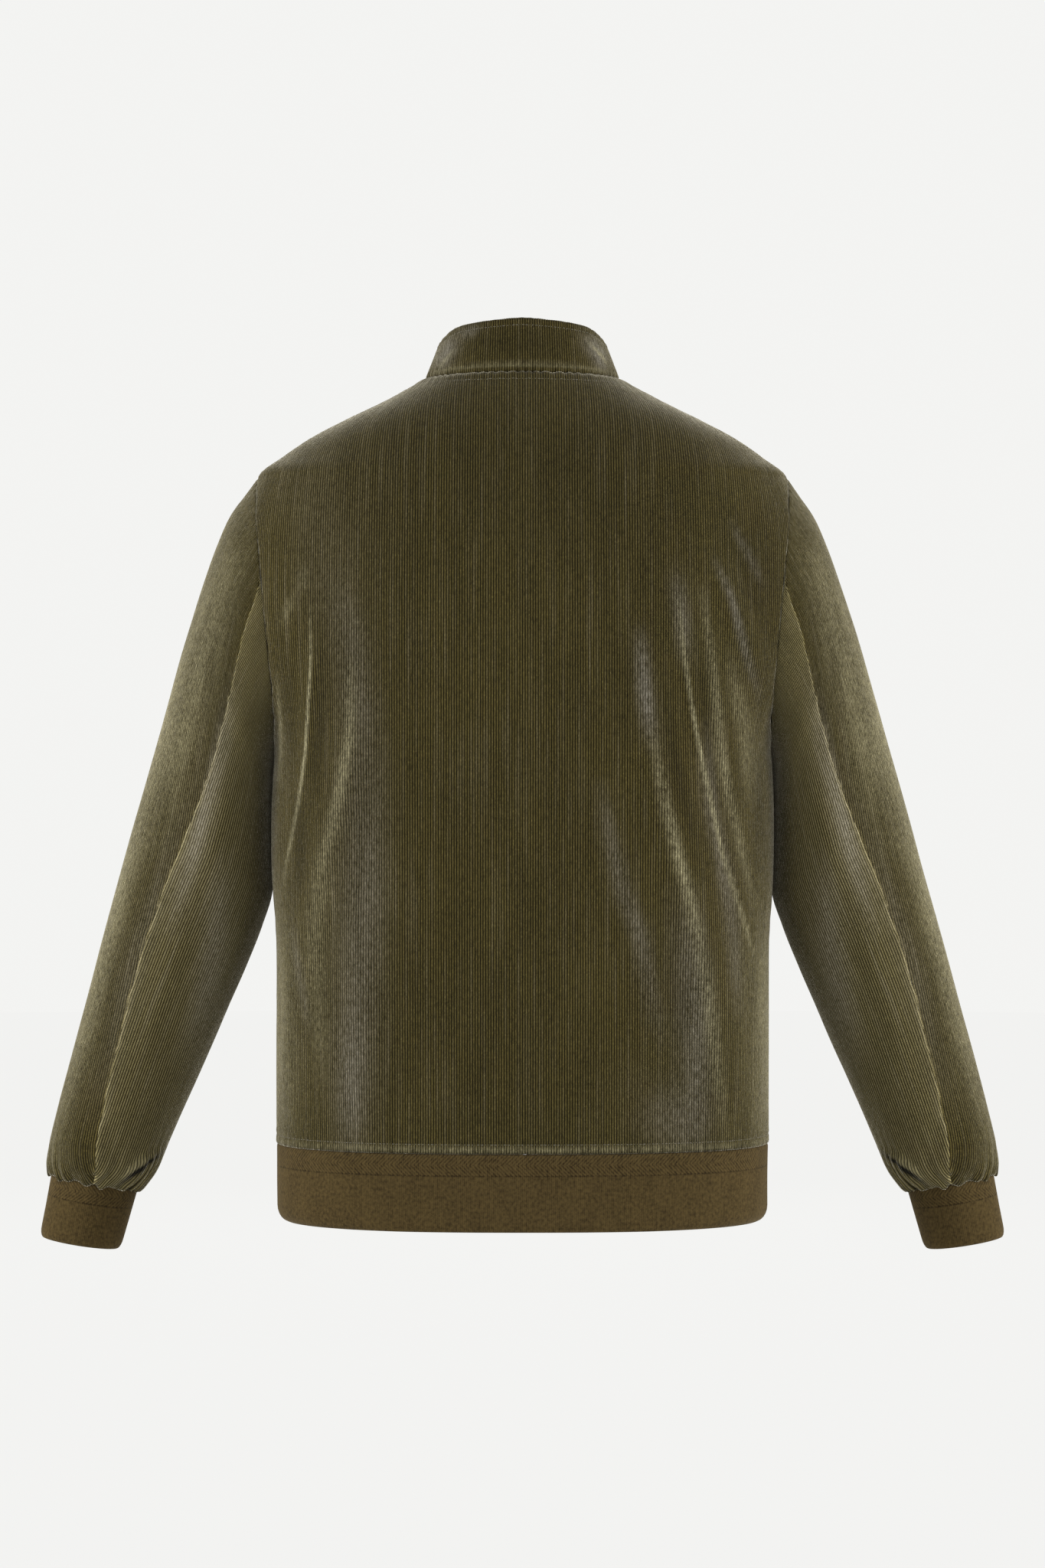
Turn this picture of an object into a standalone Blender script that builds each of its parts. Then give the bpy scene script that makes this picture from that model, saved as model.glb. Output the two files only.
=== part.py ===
"""Corduroy zip jacket, hollow as if worn: back, two fronts, two-piece sleeves, stand collar,
knitted hem rib and cuffs, and a zip up the centre front.

Metres, +Z up. The front faces -Y and the wearer's left is +X. The origin is the centre of the
neck opening, at the height of the collar seam.
"""

import math

import bmesh
import bpy
import numpy as np

# Cloth and seams
WALL = 0.0020
RIB_WALL = 0.0026
COLLAR_WALL = 0.0026
SEAM_GAP = 0.0003
ARMHOLE_GAP = 0.0006

# Body
NECK_HALF_WIDTH = 0.0795
NECK_DROP = 0.075
SHOULDER_TIP_Z = -0.083
UNDERARM_Z = -0.315
ARMHOLE_HALF_DEPTH = 0.078
BODY_HEM_Z = -0.632
RIB_HEM_Z = -0.695
RIB_INSET = 0.0006
BACK_COLUMNS = 22
FRONT_COLUMNS = 10
BELOW_ARM_ROWS = 9
RIB_COLUMNS = 40

COLLAR_SHARES = (0.35, 0.7, 1.0)

# Sleeve
BACK_SEAM_DIVISIONS = 4
UNDER_BACK_DIVISIONS = 5
UNDER_FRONT_DIVISIONS = 2
FRONT_SEAM_DIVISIONS = 8
CUFF_LENGTH = 0.0535
CUFF_TAPER = 0.93
CUFF_COLUMNS = 20
CUFF_LEAN_X = 0.232

# Zip
ZIP_CHANNEL = 0.0055
TAPE_INNER, TAPE_OUTER = 0.0033, 0.0110
TAPE_DEPTH, TAPE_THICKNESS = 0.0034, 0.0008
CHAIN_HALF_WIDTH = 0.0030
CHAIN_DEPTH, CHAIN_THICKNESS = 0.0026, 0.0024
BOX_HEIGHT = 0.0070
SLIDER_BELOW_COLLAR_TOP = 0.0095
SLIDER_HALF_WIDTH, SLIDER_HEIGHT = 0.0044, 0.0115
PLATE_THICKNESS = 0.0011
PLATE_CLEARANCE = 0.0003
WEDGE_HALF_WIDTH, WEDGE_HEIGHT = 0.0024, 0.0042
BRIDGE_HALF_WIDTH, BRIDGE_HEIGHT, BRIDGE_REACH, BRIDGE_BAR = 0.0009, 0.0072, 0.0031, 0.0010
PULL_BAR_RADIUS = 0.0006
PULL_HALF_WIDTH, PULL_LENGTH, PULL_THICKNESS = 0.0030, 0.0260, 0.0010
PULL_WINDOW_HALF, PULL_WINDOW_LENGTH = 0.0015, 0.0058


def table(names, rows):
    """A table with named columns, as {name: column}."""
    return dict(zip(names.split(), np.array(rows, float).T))


# Shoulder line, armhole edge and side line: half width at each height.
SIDE_LINE = table("z x", [
    (0.000, 0.0795), (-0.0194, 0.1150), (-0.0350, 0.1480), (-0.0508, 0.1773),
    (-0.0666, 0.1995), (-0.0830, 0.2190), (-0.1100, 0.2182), (-0.1365, 0.2160),
    (-0.1660, 0.2130), (-0.2220, 0.2075), (-0.2600, 0.2042), (-0.2970, 0.2032),
    (-0.3150, 0.2035), (-0.4500, 0.2035), (-0.6320, 0.2035), (-0.6950, 0.2033),
])

# Depth of the back and the front from the side line, and how square the section is.
DEPTH = table("z back front power", [
    (0.000, 0.0720, 0.0300, 2.00), (-0.0194, 0.0850, 0.0440, 2.03),
    (-0.040, 0.0970, 0.0600, 2.08), (-0.060, 0.1060, 0.0795, 2.13),
    (-0.083, 0.1140, 0.0995, 2.20), (-0.150, 0.1270, 0.1170, 2.30),
    (-0.220, 0.1330, 0.1270, 2.38), (-0.270, 0.1340, 0.1290, 2.55),
    (-0.315, 0.1340, 0.1300, 2.80), (-0.400, 0.1310, 0.1290, 2.70),
    (-0.632, 0.1270, 0.1250, 2.50), (-0.695, 0.1250, 0.1230, 2.50),
])

# Sleeve sections from the armhole to the cuff seam: the outer and inner ends of each section,
# its half depth, how far it hangs forward, and where the two seams lie round it.
SLEEVE = table("outer_x outer_z inner_x inner_z half_depth forward back_seam front_seam", [
    (0.2190, -0.0830, 0.2035, -0.3150, 0.0780, 0.000, 76, 210),
    (0.2300, -0.0980, 0.2046, -0.3200, 0.0775, 0.000, 80, 211),
    (0.2414, -0.1140, 0.2052, -0.3255, 0.0770, 0.000, 83, 212),
    (0.2530, -0.1400, 0.2056, -0.3320, 0.0755, 0.000, 86, 213),
    (0.2650, -0.1740, 0.2058, -0.3420, 0.0740, 0.000, 88, 214),
    (0.2780, -0.2150, 0.2059, -0.3550, 0.0720, 0.001, 88, 215),
    (0.2905, -0.2580, 0.2060, -0.3720, 0.0700, 0.002, 87, 216),
    (0.3025, -0.3000, 0.2064, -0.3940, 0.0675, 0.003, 83, 217),
    (0.3155, -0.3455, 0.2078, -0.4230, 0.0645, 0.004, 77, 218),
    (0.3285, -0.3925, 0.2168, -0.4540, 0.0615, 0.006, 72, 219),
    (0.3418, -0.4390, 0.2296, -0.4860, 0.0590, 0.008, 70, 220),
    (0.3545, -0.4840, 0.2432, -0.5175, 0.0565, 0.011, 70, 221),
    (0.3655, -0.5255, 0.2570, -0.5500, 0.0540, 0.014, 72, 222),
    (0.3770, -0.5670, 0.2712, -0.5815, 0.0515, 0.017, 75, 223),
    (0.3870, -0.6035, 0.2850, -0.6115, 0.0495, 0.019, 79, 224),
    (0.3945, -0.6355, 0.2978, -0.6400, 0.0470, 0.020, 84, 225),
    (0.3962, -0.6500, 0.3066, -0.6585, 0.0415, 0.021, 89, 226),
    (0.3928, -0.6599, 0.3209, -0.6721, 0.0320, 0.021, 93, 227),
])

# Stand collar round from the centre back, in degrees: its height and the lean of its top edge.
COLLAR = table("round height lean", [
    (0, 0.0440, 0.0040), (45, 0.0390, 0.0060), (70, 0.0300, 0.0085), (90, 0.0250, 0.0095),
    (105, 0.0315, 0.0080), (120, 0.0370, 0.0060), (135, 0.0395, 0.0045), (150, 0.0400, 0.0030),
    (180, 0.0400, 0.0020),
])

# Soft folds on the body: a line from top to bottom, its half width and its height off the cloth.
BACK_FOLDS = table("x_top z_top x_low z_low half_width height", [
    (-0.104, -0.290, -0.162, -0.600, 0.020, 0.0055),
    (-0.126, -0.198, -0.185, -0.451, 0.013, -0.0035),
    (-0.157, -0.165, -0.200, -0.263, 0.013, 0.0035),
    (0.137, -0.236, 0.173, -0.470, 0.018, 0.0050),
    (0.171, -0.194, 0.183, -0.362, 0.012, -0.0030),
])
FRONT_FOLDS = table("x_top z_top x_low z_low half_width height", [
    (0.150, -0.220, 0.085, -0.480, 0.018, 0.0045),
    (0.168, -0.300, 0.145, -0.590, 0.015, 0.0035),
    (-0.146, -0.210, -0.098, -0.430, 0.019, 0.0050),
    (-0.172, -0.320, -0.132, -0.600, 0.014, 0.0035),
])


def smooth(at, xs, ys):
    """Cubic interpolation through a table's points that never overshoots them."""
    order = np.argsort(xs)
    xs, ys = xs[order], ys[order]
    step = np.diff(xs)
    slope = np.diff(ys) / step
    product = slope[:-1] * slope[1:]
    total = np.where(slope[:-1] + slope[1:] == 0, 1, slope[:-1] + slope[1:])
    inner = np.where(product > 0, 2 * product / total, 0)
    bend = np.concatenate([slope[:1], inner, slope[-1:]])
    at = np.clip(at, xs[0], xs[-1])
    k = np.clip(np.searchsorted(xs, at, side="right") - 1, 0, len(step) - 1)
    t = (at - xs[k]) / step[k]
    rise = ys[k] + t * step[k] * bend[k]
    square = t * t * (3 * slope[k] - 2 * bend[k] - bend[k + 1]) * step[k]
    cube = t * t * t * (bend[k] + bend[k + 1] - 2 * slope[k]) * step[k]
    return rise + square + cube


def armhole_z(angle):
    """Height on the armhole, by the angle round it from the shoulder tip."""
    return SHOULDER_TIP_Z + (UNDERARM_Z - SHOULDER_TIP_Z) * (1 - math.cos(angle)) / 2


def armhole_half_depth(z):
    """How far the armhole's edge lies behind or in front of the side line."""
    share = (z - SHOULDER_TIP_Z) / (UNDERARM_Z - SHOULDER_TIP_Z)
    if not 0 < share < 1:
        return 0.0
    return ARMHOLE_HALF_DEPTH * math.sqrt(1 - (1 - 2 * share) ** 2)


def neck_x(z):
    """Half width of the front neckline at a height."""
    share = min(-z / NECK_DROP, 1.0)
    return max(NECK_HALF_WIDTH * math.sqrt(1 - share * share), ZIP_CHANNEL)


def neck_z(x):
    """Height of the front neckline at a distance from the centre front."""
    return -NECK_DROP * math.sqrt(1 - (x / NECK_HALF_WIDTH) ** 2)


def section(z, facing, count, start_x):
    """Points of one body section, evenly spaced from start_x near the centre to its side edge."""
    power = smooth(z, DEPTH["z"], DEPTH["power"])
    depth = smooth(z, DEPTH["z"], DEPTH["back" if facing > 0 else "front"])
    edge_x = smooth(z, SIDE_LINE["z"], SIDE_LINE["x"])
    edge_share = (armhole_half_depth(z) / depth) ** power
    half_width = edge_x / (1 - edge_share) ** (1 / power)
    first = math.asin((start_x / half_width) ** (power / 2))
    last = math.acos(math.sqrt(edge_share))
    turn = np.linspace(first, last, 400)
    x = half_width * np.sin(turn) ** (2 / power)
    y = facing * depth * np.clip(np.cos(turn), 0, 1) ** (2 / power)
    along = np.concatenate([[0], np.cumsum(np.hypot(np.diff(x), np.diff(y)))])
    wanted = np.linspace(0, along[-1] - SEAM_GAP / 2, count + 1)
    return np.column_stack([np.interp(wanted, along, x), np.interp(wanted, along, y),
                            np.full(count + 1, z)])


def front_y(x, z):
    """Outer face of the centre front at a small distance from the zip, up to the collar's top."""
    on_body = min(z, neck_z(x))
    power = smooth(on_body, DEPTH["z"], DEPTH["power"])
    depth = smooth(on_body, DEPTH["z"], DEPTH["front"])
    half_width = smooth(on_body, SIDE_LINE["z"], SIDE_LINE["x"])
    lean = COLLAR["lean"][-1] * (z - on_body) / COLLAR["height"][-1]
    return -depth * (1 - (x / half_width) ** power) ** (1 / power) + lean


def folded(grid, normals, folds):
    """The grid moved out along its normals by the folds, which fade out at its edges."""
    rows, columns = grid.shape[:2]
    by_row = np.sin(np.linspace(0, math.pi, rows)) ** 0.5
    by_column = np.sin(np.linspace(0, math.pi, columns)) ** 0.7
    lift = np.zeros((rows, columns))
    for i in range(len(folds["height"])):
        top = np.array([folds["x_top"][i], folds["z_top"][i]])
        line = np.array([folds["x_low"][i], folds["z_low"][i]]) - top
        offset = grid[..., [0, 2]] - top
        share = offset @ line / (line @ line)
        foot = np.clip(share, 0, 1)[..., None] * line
        away = np.linalg.norm(offset - foot, axis=-1)
        taper = np.sin(math.pi * np.clip(share, 0.02, 0.98)) ** 0.6
        lift += folds["height"][i] * taper * np.exp(-((away / folds["half_width"][i]) ** 2))
    return grid + normals * (lift * by_row[:, None] * by_column)[..., None]


def grid_normals(grid, centre, ring=False):
    """Unit normals of a grid of points, facing away from centre."""
    along = np.gradient(grid, axis=0)
    if ring:
        across = np.roll(grid, -1, axis=1) - np.roll(grid, 1, axis=1)
    else:
        across = np.gradient(grid, axis=1)
    normal = np.cross(along, across)
    normal /= np.linalg.norm(normal, axis=-1, keepdims=True)
    return normal if ((grid - centre) * normal).sum() > 0 else -normal


def material(name, colour, roughness, metallic=0.0, sheen=0.0):
    made = bpy.data.materials.new(name)
    made.use_nodes = True
    shader = made.node_tree.nodes["Principled BSDF"]
    shader.inputs["Base Color"].default_value = (*colour, 1)
    shader.inputs["Roughness"].default_value = roughness
    shader.inputs["Metallic"].default_value = metallic
    shader.inputs["Sheen Weight"].default_value = sheen
    return made


def wall(name, outer, normals, thickness, finish, ring=False):
    """One closed wall of cloth from the grid of its outer face."""
    rows, columns = outer.shape[:2]
    points = np.concatenate([outer.reshape(-1, 3), (outer - normals * thickness).reshape(-1, 3)])
    shape = bmesh.new()
    verts = [shape.verts.new(point) for point in points]
    under = rows * columns

    def at(layer, row, column):
        return verts[layer * under + row * columns + column % columns]

    for row in range(rows - 1):
        for column in range(columns if ring else columns - 1):
            for layer in (0, 1):
                shape.faces.new([at(layer, row, column), at(layer, row, column + 1),
                                 at(layer, row + 1, column + 1), at(layer, row + 1, column)])
    for row in (0, rows - 1):
        for column in range(columns if ring else columns - 1):
            shape.faces.new([at(0, row, column), at(0, row, column + 1),
                             at(1, row, column + 1), at(1, row, column)])
    for column in () if ring else (0, columns - 1):
        for row in range(rows - 1):
            shape.faces.new([at(0, row, column), at(0, row + 1, column),
                             at(1, row + 1, column), at(1, row, column)])
    bmesh.ops.recalc_face_normals(shape, faces=shape.faces)
    mesh = bpy.data.meshes.new(name)
    shape.to_mesh(mesh)
    shape.free()
    mesh.shade_smooth()
    mesh.materials.append(finish)
    made = bpy.data.objects.new(name, mesh)
    jacket.objects.link(made)
    return made


def mirrored(grid):
    """A grid's other half, across the centre plane."""
    return grid * np.array([-1, 1, 1])


def body_levels():
    """Heights of the body's rows: below the arm, round the armhole, and up the neckline."""
    below = list(np.linspace(BODY_HEM_Z, UNDERARM_Z, BELOW_ARM_ROWS + 1))[:-1]
    back_turns = [math.radians(SLEEVE["back_seam"][0]) * i / BACK_SEAM_DIVISIONS
                  for i in range(BACK_SEAM_DIVISIONS + 1)]
    rest = (math.pi - back_turns[-1]) / UNDER_BACK_DIVISIONS
    back_turns += [back_turns[-1] + rest * (i + 1) for i in range(UNDER_BACK_DIVISIONS)]
    front_seam = math.radians(360 - SLEEVE["front_seam"][0])
    front_turns = [front_seam * i / FRONT_SEAM_DIVISIONS for i in range(FRONT_SEAM_DIVISIONS + 1)]
    rest = (math.pi - front_seam) / UNDER_FRONT_DIVISIONS
    front_turns += [front_seam + rest * (i + 1) for i in range(UNDER_FRONT_DIVISIONS)]
    last = math.degrees(math.acos(ZIP_CHANNEL / NECK_HALF_WIDTH))
    neck = [-NECK_DROP * math.sin(math.radians(turn)) for turn in (last, 73, 60, 45, 30, 15, 1.5)]
    back = below + [armhole_z(turn) for turn in reversed(back_turns)] + neck + [0.0]
    front = below + [armhole_z(turn) for turn in reversed(front_turns)] + neck
    return back, front, neck


def body(corduroy):
    """The back and the two fronts. Returns the fronts' neckline points for the collar."""
    back_levels, front_levels, neck_levels = body_levels()
    half = np.array([section(z, 1, BACK_COLUMNS // 2, 0.0) for z in back_levels])
    back = np.concatenate([mirrored(half[:, :0:-1]), half], axis=1)
    front = np.array([section(z, -1, FRONT_COLUMNS, neck_x(z)) for z in front_levels])
    back_normals = grid_normals(back, [0, 0, -0.3])
    front_normals = grid_normals(front, [0, 0, -0.3])
    for i, z in enumerate(front_levels):
        if armhole_half_depth(z) == 0:
            k = back_levels.index(z)
            shared = back_normals[k, -1] + front_normals[i, -1]
            shared /= np.linalg.norm(shared)
            front_normals[i, -1] = back_normals[k, -1] = shared
            back_normals[k, 0] = shared * [-1, 1, 1]
    wall("back", folded(back, back_normals, BACK_FOLDS), back_normals, WALL, corduroy)
    left = folded(front, front_normals, FRONT_FOLDS)
    wall("left_front", left, front_normals, WALL, corduroy)
    right = folded(mirrored(front), mirrored(front_normals), FRONT_FOLDS)
    wall("right_front", right, mirrored(front_normals), WALL, corduroy)
    first = len(front_levels) - len(neck_levels)
    return front[first:, 0]


def sleeve_turns(row):
    """Angles round one sleeve section, from the front seam over the top and round the back."""
    back = math.radians(SLEEVE["back_seam"][row])
    front = math.radians(SLEEVE["front_seam"][row])
    over = np.linspace(front - 2 * math.pi, 0, FRONT_SEAM_DIVISIONS + 1)[:-1]
    behind = np.linspace(0, back, BACK_SEAM_DIVISIONS + 1)[:-1]
    beneath = np.linspace(back, math.pi, UNDER_BACK_DIVISIONS + 1)[:-1]
    inside = np.linspace(math.pi, front, UNDER_FRONT_DIVISIONS + 1)[:-1]
    return np.concatenate([over, behind, beneath, inside])


def sleeve_ring(row, turns):
    """Points round one sleeve section. The first follows the armhole's curved edge."""
    s = {name: column[row] for name, column in SLEEVE.items()}
    middle = np.array([s["outer_x"] + s["inner_x"], 0, s["outer_z"] + s["inner_z"]]) / 2
    reach = np.array([s["outer_x"] - s["inner_x"], 0, s["outer_z"] - s["inner_z"]]) / 2
    ring = middle + np.cos(turns)[:, None] * reach
    ring[:, 1] = s["half_depth"] * np.sin(turns) - s["forward"]
    fade = max(0.0, 1 - row / 4)
    straight = SLEEVE["inner_x"][0] + (SLEEVE["outer_x"][0] - SLEEVE["inner_x"][0]) * (
        1 + np.cos(turns)) / 2
    edge_z = SHOULDER_TIP_Z + (UNDERARM_Z - SHOULDER_TIP_Z) * (1 - np.cos(turns)) / 2
    ring[:, 0] += fade * (smooth(edge_z, SIDE_LINE["z"], SIDE_LINE["x"]) - straight)
    return ring, middle - [0, s["forward"], 0]


def sleeve(side, name, corduroy, rib):
    """One two-piece sleeve with its cuff."""
    rows = len(SLEEVE["outer_x"])
    rings, middles = zip(*(sleeve_ring(row, sleeve_turns(row)) for row in range(rows)))
    rings, middles = np.array(rings), np.array(middles)
    away = rings[1] - rings[0] + np.array([0.004, 0, 0])
    rings[0] += ARMHOLE_GAP * away / np.linalg.norm(away, axis=-1, keepdims=True)
    normals = grid_normals(rings, middles[:, None], ring=True)
    flip = np.array([side, 1, 1])
    upper_count = FRONT_SEAM_DIVISIONS + BACK_SEAM_DIVISIONS
    around = np.arange(rings.shape[1] + 1) % rings.shape[1]
    for piece, first, last in (("upper", 0, upper_count), ("under", upper_count, len(around) - 1)):
        columns = around[first:last + 1]
        grid = rings[:, columns].copy()
        for edge, inner in ((0, 1), (-1, -2)):
            inward = grid[:, inner] - grid[:, edge]
            inward /= np.linalg.norm(inward, axis=-1, keepdims=True)
            grid[:, edge] += inward * SEAM_GAP / 2
        wall(f"{name}_{piece}_sleeve", grid * flip, normals[:, columns] * flip, WALL, corduroy)
    cuff(flip, f"{name}_cuff", rib)


def cuff(flip, name, rib):
    """A tube of rib below the sleeve's last section."""
    turns = np.linspace(0, 2 * math.pi, CUFF_COLUMNS, endpoint=False)
    ring, middle = sleeve_ring(len(SLEEVE["outer_x"]) - 1, turns)
    down = np.array([CUFF_LEAN_X, 0, -math.sqrt(1 - CUFF_LEAN_X ** 2)])
    rows = []
    for share in (0, 0.5, 1):
        scale = 1 - (1 - CUFF_TAPER) * share
        step = down * (SEAM_GAP * 1.5 + CUFF_LENGTH * share)
        rows.append(middle + (ring - middle) * scale + step)
    grid = np.array(rows)
    centres = np.array([row.mean(axis=0) for row in rows])[:, None]
    normals = grid_normals(grid, centres, ring=True)
    wall(name, grid * flip, normals * flip, RIB_WALL, rib, ring=True)


def collar(corduroy, neckline):
    """The stand collar, from one side of the zip round the back to the other."""
    turns = np.linspace(0, math.pi / 2, 8)
    back_depth = DEPTH["back"][0]
    back = np.column_stack([NECK_HALF_WIDTH * np.sin(turns), back_depth * np.cos(turns), 0 * turns])
    round_front = 90 + np.degrees(np.arcsin(-neckline[::-1, 2] / NECK_DROP))
    half = np.concatenate([back, neckline[::-1]])
    round_at = np.concatenate([np.degrees(turns), round_front])
    foot = np.concatenate([mirrored(half[:0:-1]), half])
    round_at = np.concatenate([round_at[:0:-1], round_at])
    tangent = np.gradient(foot[:, :2], axis=0)
    outward = np.column_stack([-tangent[:, 1], tangent[:, 0], 0 * tangent[:, 0]])
    outward /= np.linalg.norm(outward, axis=1, keepdims=True)
    outward *= np.sign((outward * foot).sum())
    height = smooth(round_at, COLLAR["round"], COLLAR["height"])[:, None]
    lean = smooth(round_at, COLLAR["round"], COLLAR["lean"])[:, None]
    up = np.array([0, 0, 1.0])
    rows = [foot + up * (SEAM_GAP * 1.5 + share * height) - outward * lean * share ** 1.2
            for share in (0, *COLLAR_SHARES)]
    grid = np.array(rows)
    wall("collar", grid, grid_normals(grid, [0, 0, 0]), COLLAR_WALL, corduroy)


def hem_rib(rib):
    """The rib round the hem, open at the zip."""
    rows = []
    for z in (BODY_HEM_Z - SEAM_GAP, (BODY_HEM_Z + RIB_HEM_Z) / 2, RIB_HEM_Z):
        back = section(z, 1, RIB_COLUMNS // 4, 0.0)
        front = section(z, -1, RIB_COLUMNS // 4, ZIP_CHANNEL)
        half = np.concatenate([back[:-1], front[::-1]])
        rows.append(np.concatenate([mirrored(half[:0:-1]), half]))
    grid = np.array(rows)
    normals = grid_normals(grid, [0, 0, BODY_HEM_Z])
    wall("hem_rib", grid - normals * RIB_INSET, normals, RIB_WALL, rib)


def strip(name, levels, xs, depth, thickness, finish):
    """A strip that runs up the centre front, a set depth behind the outer face."""
    grid = np.array([[(x, front_y(abs(x), z) + depth, z) for x in xs] for z in levels])
    normals = np.zeros_like(grid)
    normals[..., 1] = -1
    return wall(name, grid, normals, thickness, finish)


def box(name, low, high, bevel, finish):
    """A box between two corners with rounded edges."""
    low, high = np.array(low), np.array(high)
    bpy.ops.mesh.primitive_cube_add(size=1, location=(low + high) / 2)
    made = bpy.context.object
    made.name = made.data.name = name
    made.scale = high - low
    bpy.ops.object.transform_apply(location=True, rotation=False, scale=True)
    if bevel:
        rounding = made.modifiers.new("Rounding", "BEVEL")
        rounding.width = bevel
        rounding.segments = 2
    made.data.materials.append(finish)
    bpy.context.collection.objects.unlink(made)
    jacket.objects.link(made)
    return made


def helper(made):
    """Keeps an object that only cuts or joins out of the model."""
    made.hide_render = True
    made.display_type = "WIRE"
    jacket.objects.unlink(made)
    helpers.objects.link(made)
    return made


def combine(target, other, operation):
    step = target.modifiers.new(other.name, "BOOLEAN")
    step.operation = operation
    step.object = helper(other)


def slider(collar_top, metal):
    """The zip's slider: two plates joined by a wedge above the closed chain, and a bridge."""
    centre = collar_top - SLIDER_BELOW_COLLAR_TOP
    face = front_y(0, centre)
    low, high = centre - SLIDER_HEIGHT / 2, centre + SLIDER_HEIGHT / 2
    front_face = face + CHAIN_DEPTH - PLATE_CLEARANCE - PLATE_THICKNESS
    rear_face = face + CHAIN_DEPTH + CHAIN_THICKNESS + PLATE_CLEARANCE
    width = SLIDER_HALF_WIDTH
    made = box("zip_slider", (-width, front_face, low), (width, front_face + PLATE_THICKNESS, high),
               0.0004, metal)
    rear = box("rear_plate", (-width, rear_face, low), (width, rear_face + PLATE_THICKNESS, high),
               0.0004, metal)
    wedge = box("wedge", (-WEDGE_HALF_WIDTH, front_face + PLATE_THICKNESS / 2, high - WEDGE_HEIGHT),
                (WEDGE_HALF_WIDTH, rear_face + PLATE_THICKNESS / 2, high - 0.0003), 0, metal)
    bridge_low = centre - BRIDGE_HEIGHT / 2
    bridge = box("bridge", (-BRIDGE_HALF_WIDTH, front_face - BRIDGE_REACH, bridge_low),
                 (BRIDGE_HALF_WIDTH, front_face + PLATE_THICKNESS / 2, bridge_low + BRIDGE_HEIGHT),
                 0.0004, metal)
    window = box("bridge_window",
                 (-2 * BRIDGE_HALF_WIDTH, front_face - BRIDGE_REACH + BRIDGE_BAR,
                  bridge_low + BRIDGE_BAR),
                 (2 * BRIDGE_HALF_WIDTH, front_face - 0.0001,
                  bridge_low + BRIDGE_HEIGHT - BRIDGE_BAR), 0, metal)
    combine(bridge, window, "DIFFERENCE")
    combine(made, wedge, "UNION")
    combine(made, rear, "UNION")
    combine(made, bridge, "UNION")
    chain_top = high - WEDGE_HEIGHT - PLATE_CLEARANCE
    axis_y = front_face - (BRIDGE_REACH - BRIDGE_BAR) / 2
    return chain_top, (0, axis_y, bridge_low + BRIDGE_HEIGHT - BRIDGE_BAR - 2 * PULL_BAR_RADIUS)


def pull_tab(axis, metal):
    """The pull: a bar under the slider's bridge, two arms beside it and a flat grip below."""
    half = PULL_THICKNESS / 2
    made = box("pull_tab", (-PULL_HALF_WIDTH, -half, -PULL_LENGTH),
               (PULL_HALF_WIDTH, half, PULL_BAR_RADIUS), 0.0003, metal)
    window = box("pull_window", (-PULL_WINDOW_HALF, -2 * half, -PULL_WINDOW_LENGTH),
                 (PULL_WINDOW_HALF, 2 * half, -PULL_BAR_RADIUS), 0, metal)
    combine(made, window, "DIFFERENCE")
    made.location = window.location = axis


def between(levels, low, high):
    """The levels that lie between two ends, with the ends."""
    return [low] + [z for z in levels if low + SEAM_GAP < z < high - SEAM_GAP] + [high]


def zip_closure(metal, tape):
    """The closed zip from the hem to the collar's top."""
    neck = neck_z(ZIP_CHANNEL)
    collar_top = neck + COLLAR["height"][-1]
    levels = [z for z in body_levels()[1] if z <= neck + SEAM_GAP]
    levels += [neck + COLLAR["height"][-1] * share for share in COLLAR_SHARES]
    chain_top, axis = slider(collar_top, metal)
    pull_tab(axis, metal)
    low = RIB_HEM_Z + 0.0005
    top = collar_top - 0.0015
    middle = (TAPE_INNER + TAPE_OUTER) / 2
    xs = np.array([TAPE_INNER, middle, TAPE_OUTER])
    for side, name in ((1, "left_zip_tape"), (-1, "right_zip_tape")):
        strip(name, between(levels, low, top), side * xs, TAPE_DEPTH, TAPE_THICKNESS, tape)
    chain_low = low + BOX_HEIGHT + PLATE_CLEARANCE
    ends = [-CHAIN_HALF_WIDTH, CHAIN_HALF_WIDTH]
    strip("zip_chain", between(levels, chain_low, chain_top), ends,
          CHAIN_DEPTH, CHAIN_THICKNESS, metal)
    face = front_y(0, low)
    box("zip_box", (-CHAIN_HALF_WIDTH, face + CHAIN_DEPTH - 0.0006, low),
        (CHAIN_HALF_WIDTH, face + CHAIN_DEPTH + CHAIN_THICKNESS + 0.0006, low + BOX_HEIGHT),
        0.0005, metal)


for old in list(bpy.data.objects):
    bpy.data.objects.remove(old)
jacket = bpy.data.collections.new("Corduroy jacket")
helpers = bpy.data.collections.new("Helpers")
bpy.context.scene.collection.children.link(jacket)
bpy.context.scene.collection.children.link(helpers)

olive = material("Corduroy", (0.055, 0.042, 0.014), 0.85, sheen=0.5)
brown = material("Rib knit", (0.065, 0.045, 0.021), 0.9, sheen=0.2)
brass = material("Antique brass", (0.35, 0.26, 0.13), 0.4, metallic=1.0)
braid = material("Zip tape", (0.035, 0.028, 0.014), 0.8)

front_neckline = body(olive)
sleeve(1, "left", olive, brown)
sleeve(-1, "right", olive, brown)
collar(olive, front_neckline)
hem_rib(brown)
zip_closure(brass, braid)
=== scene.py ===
import math

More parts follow.
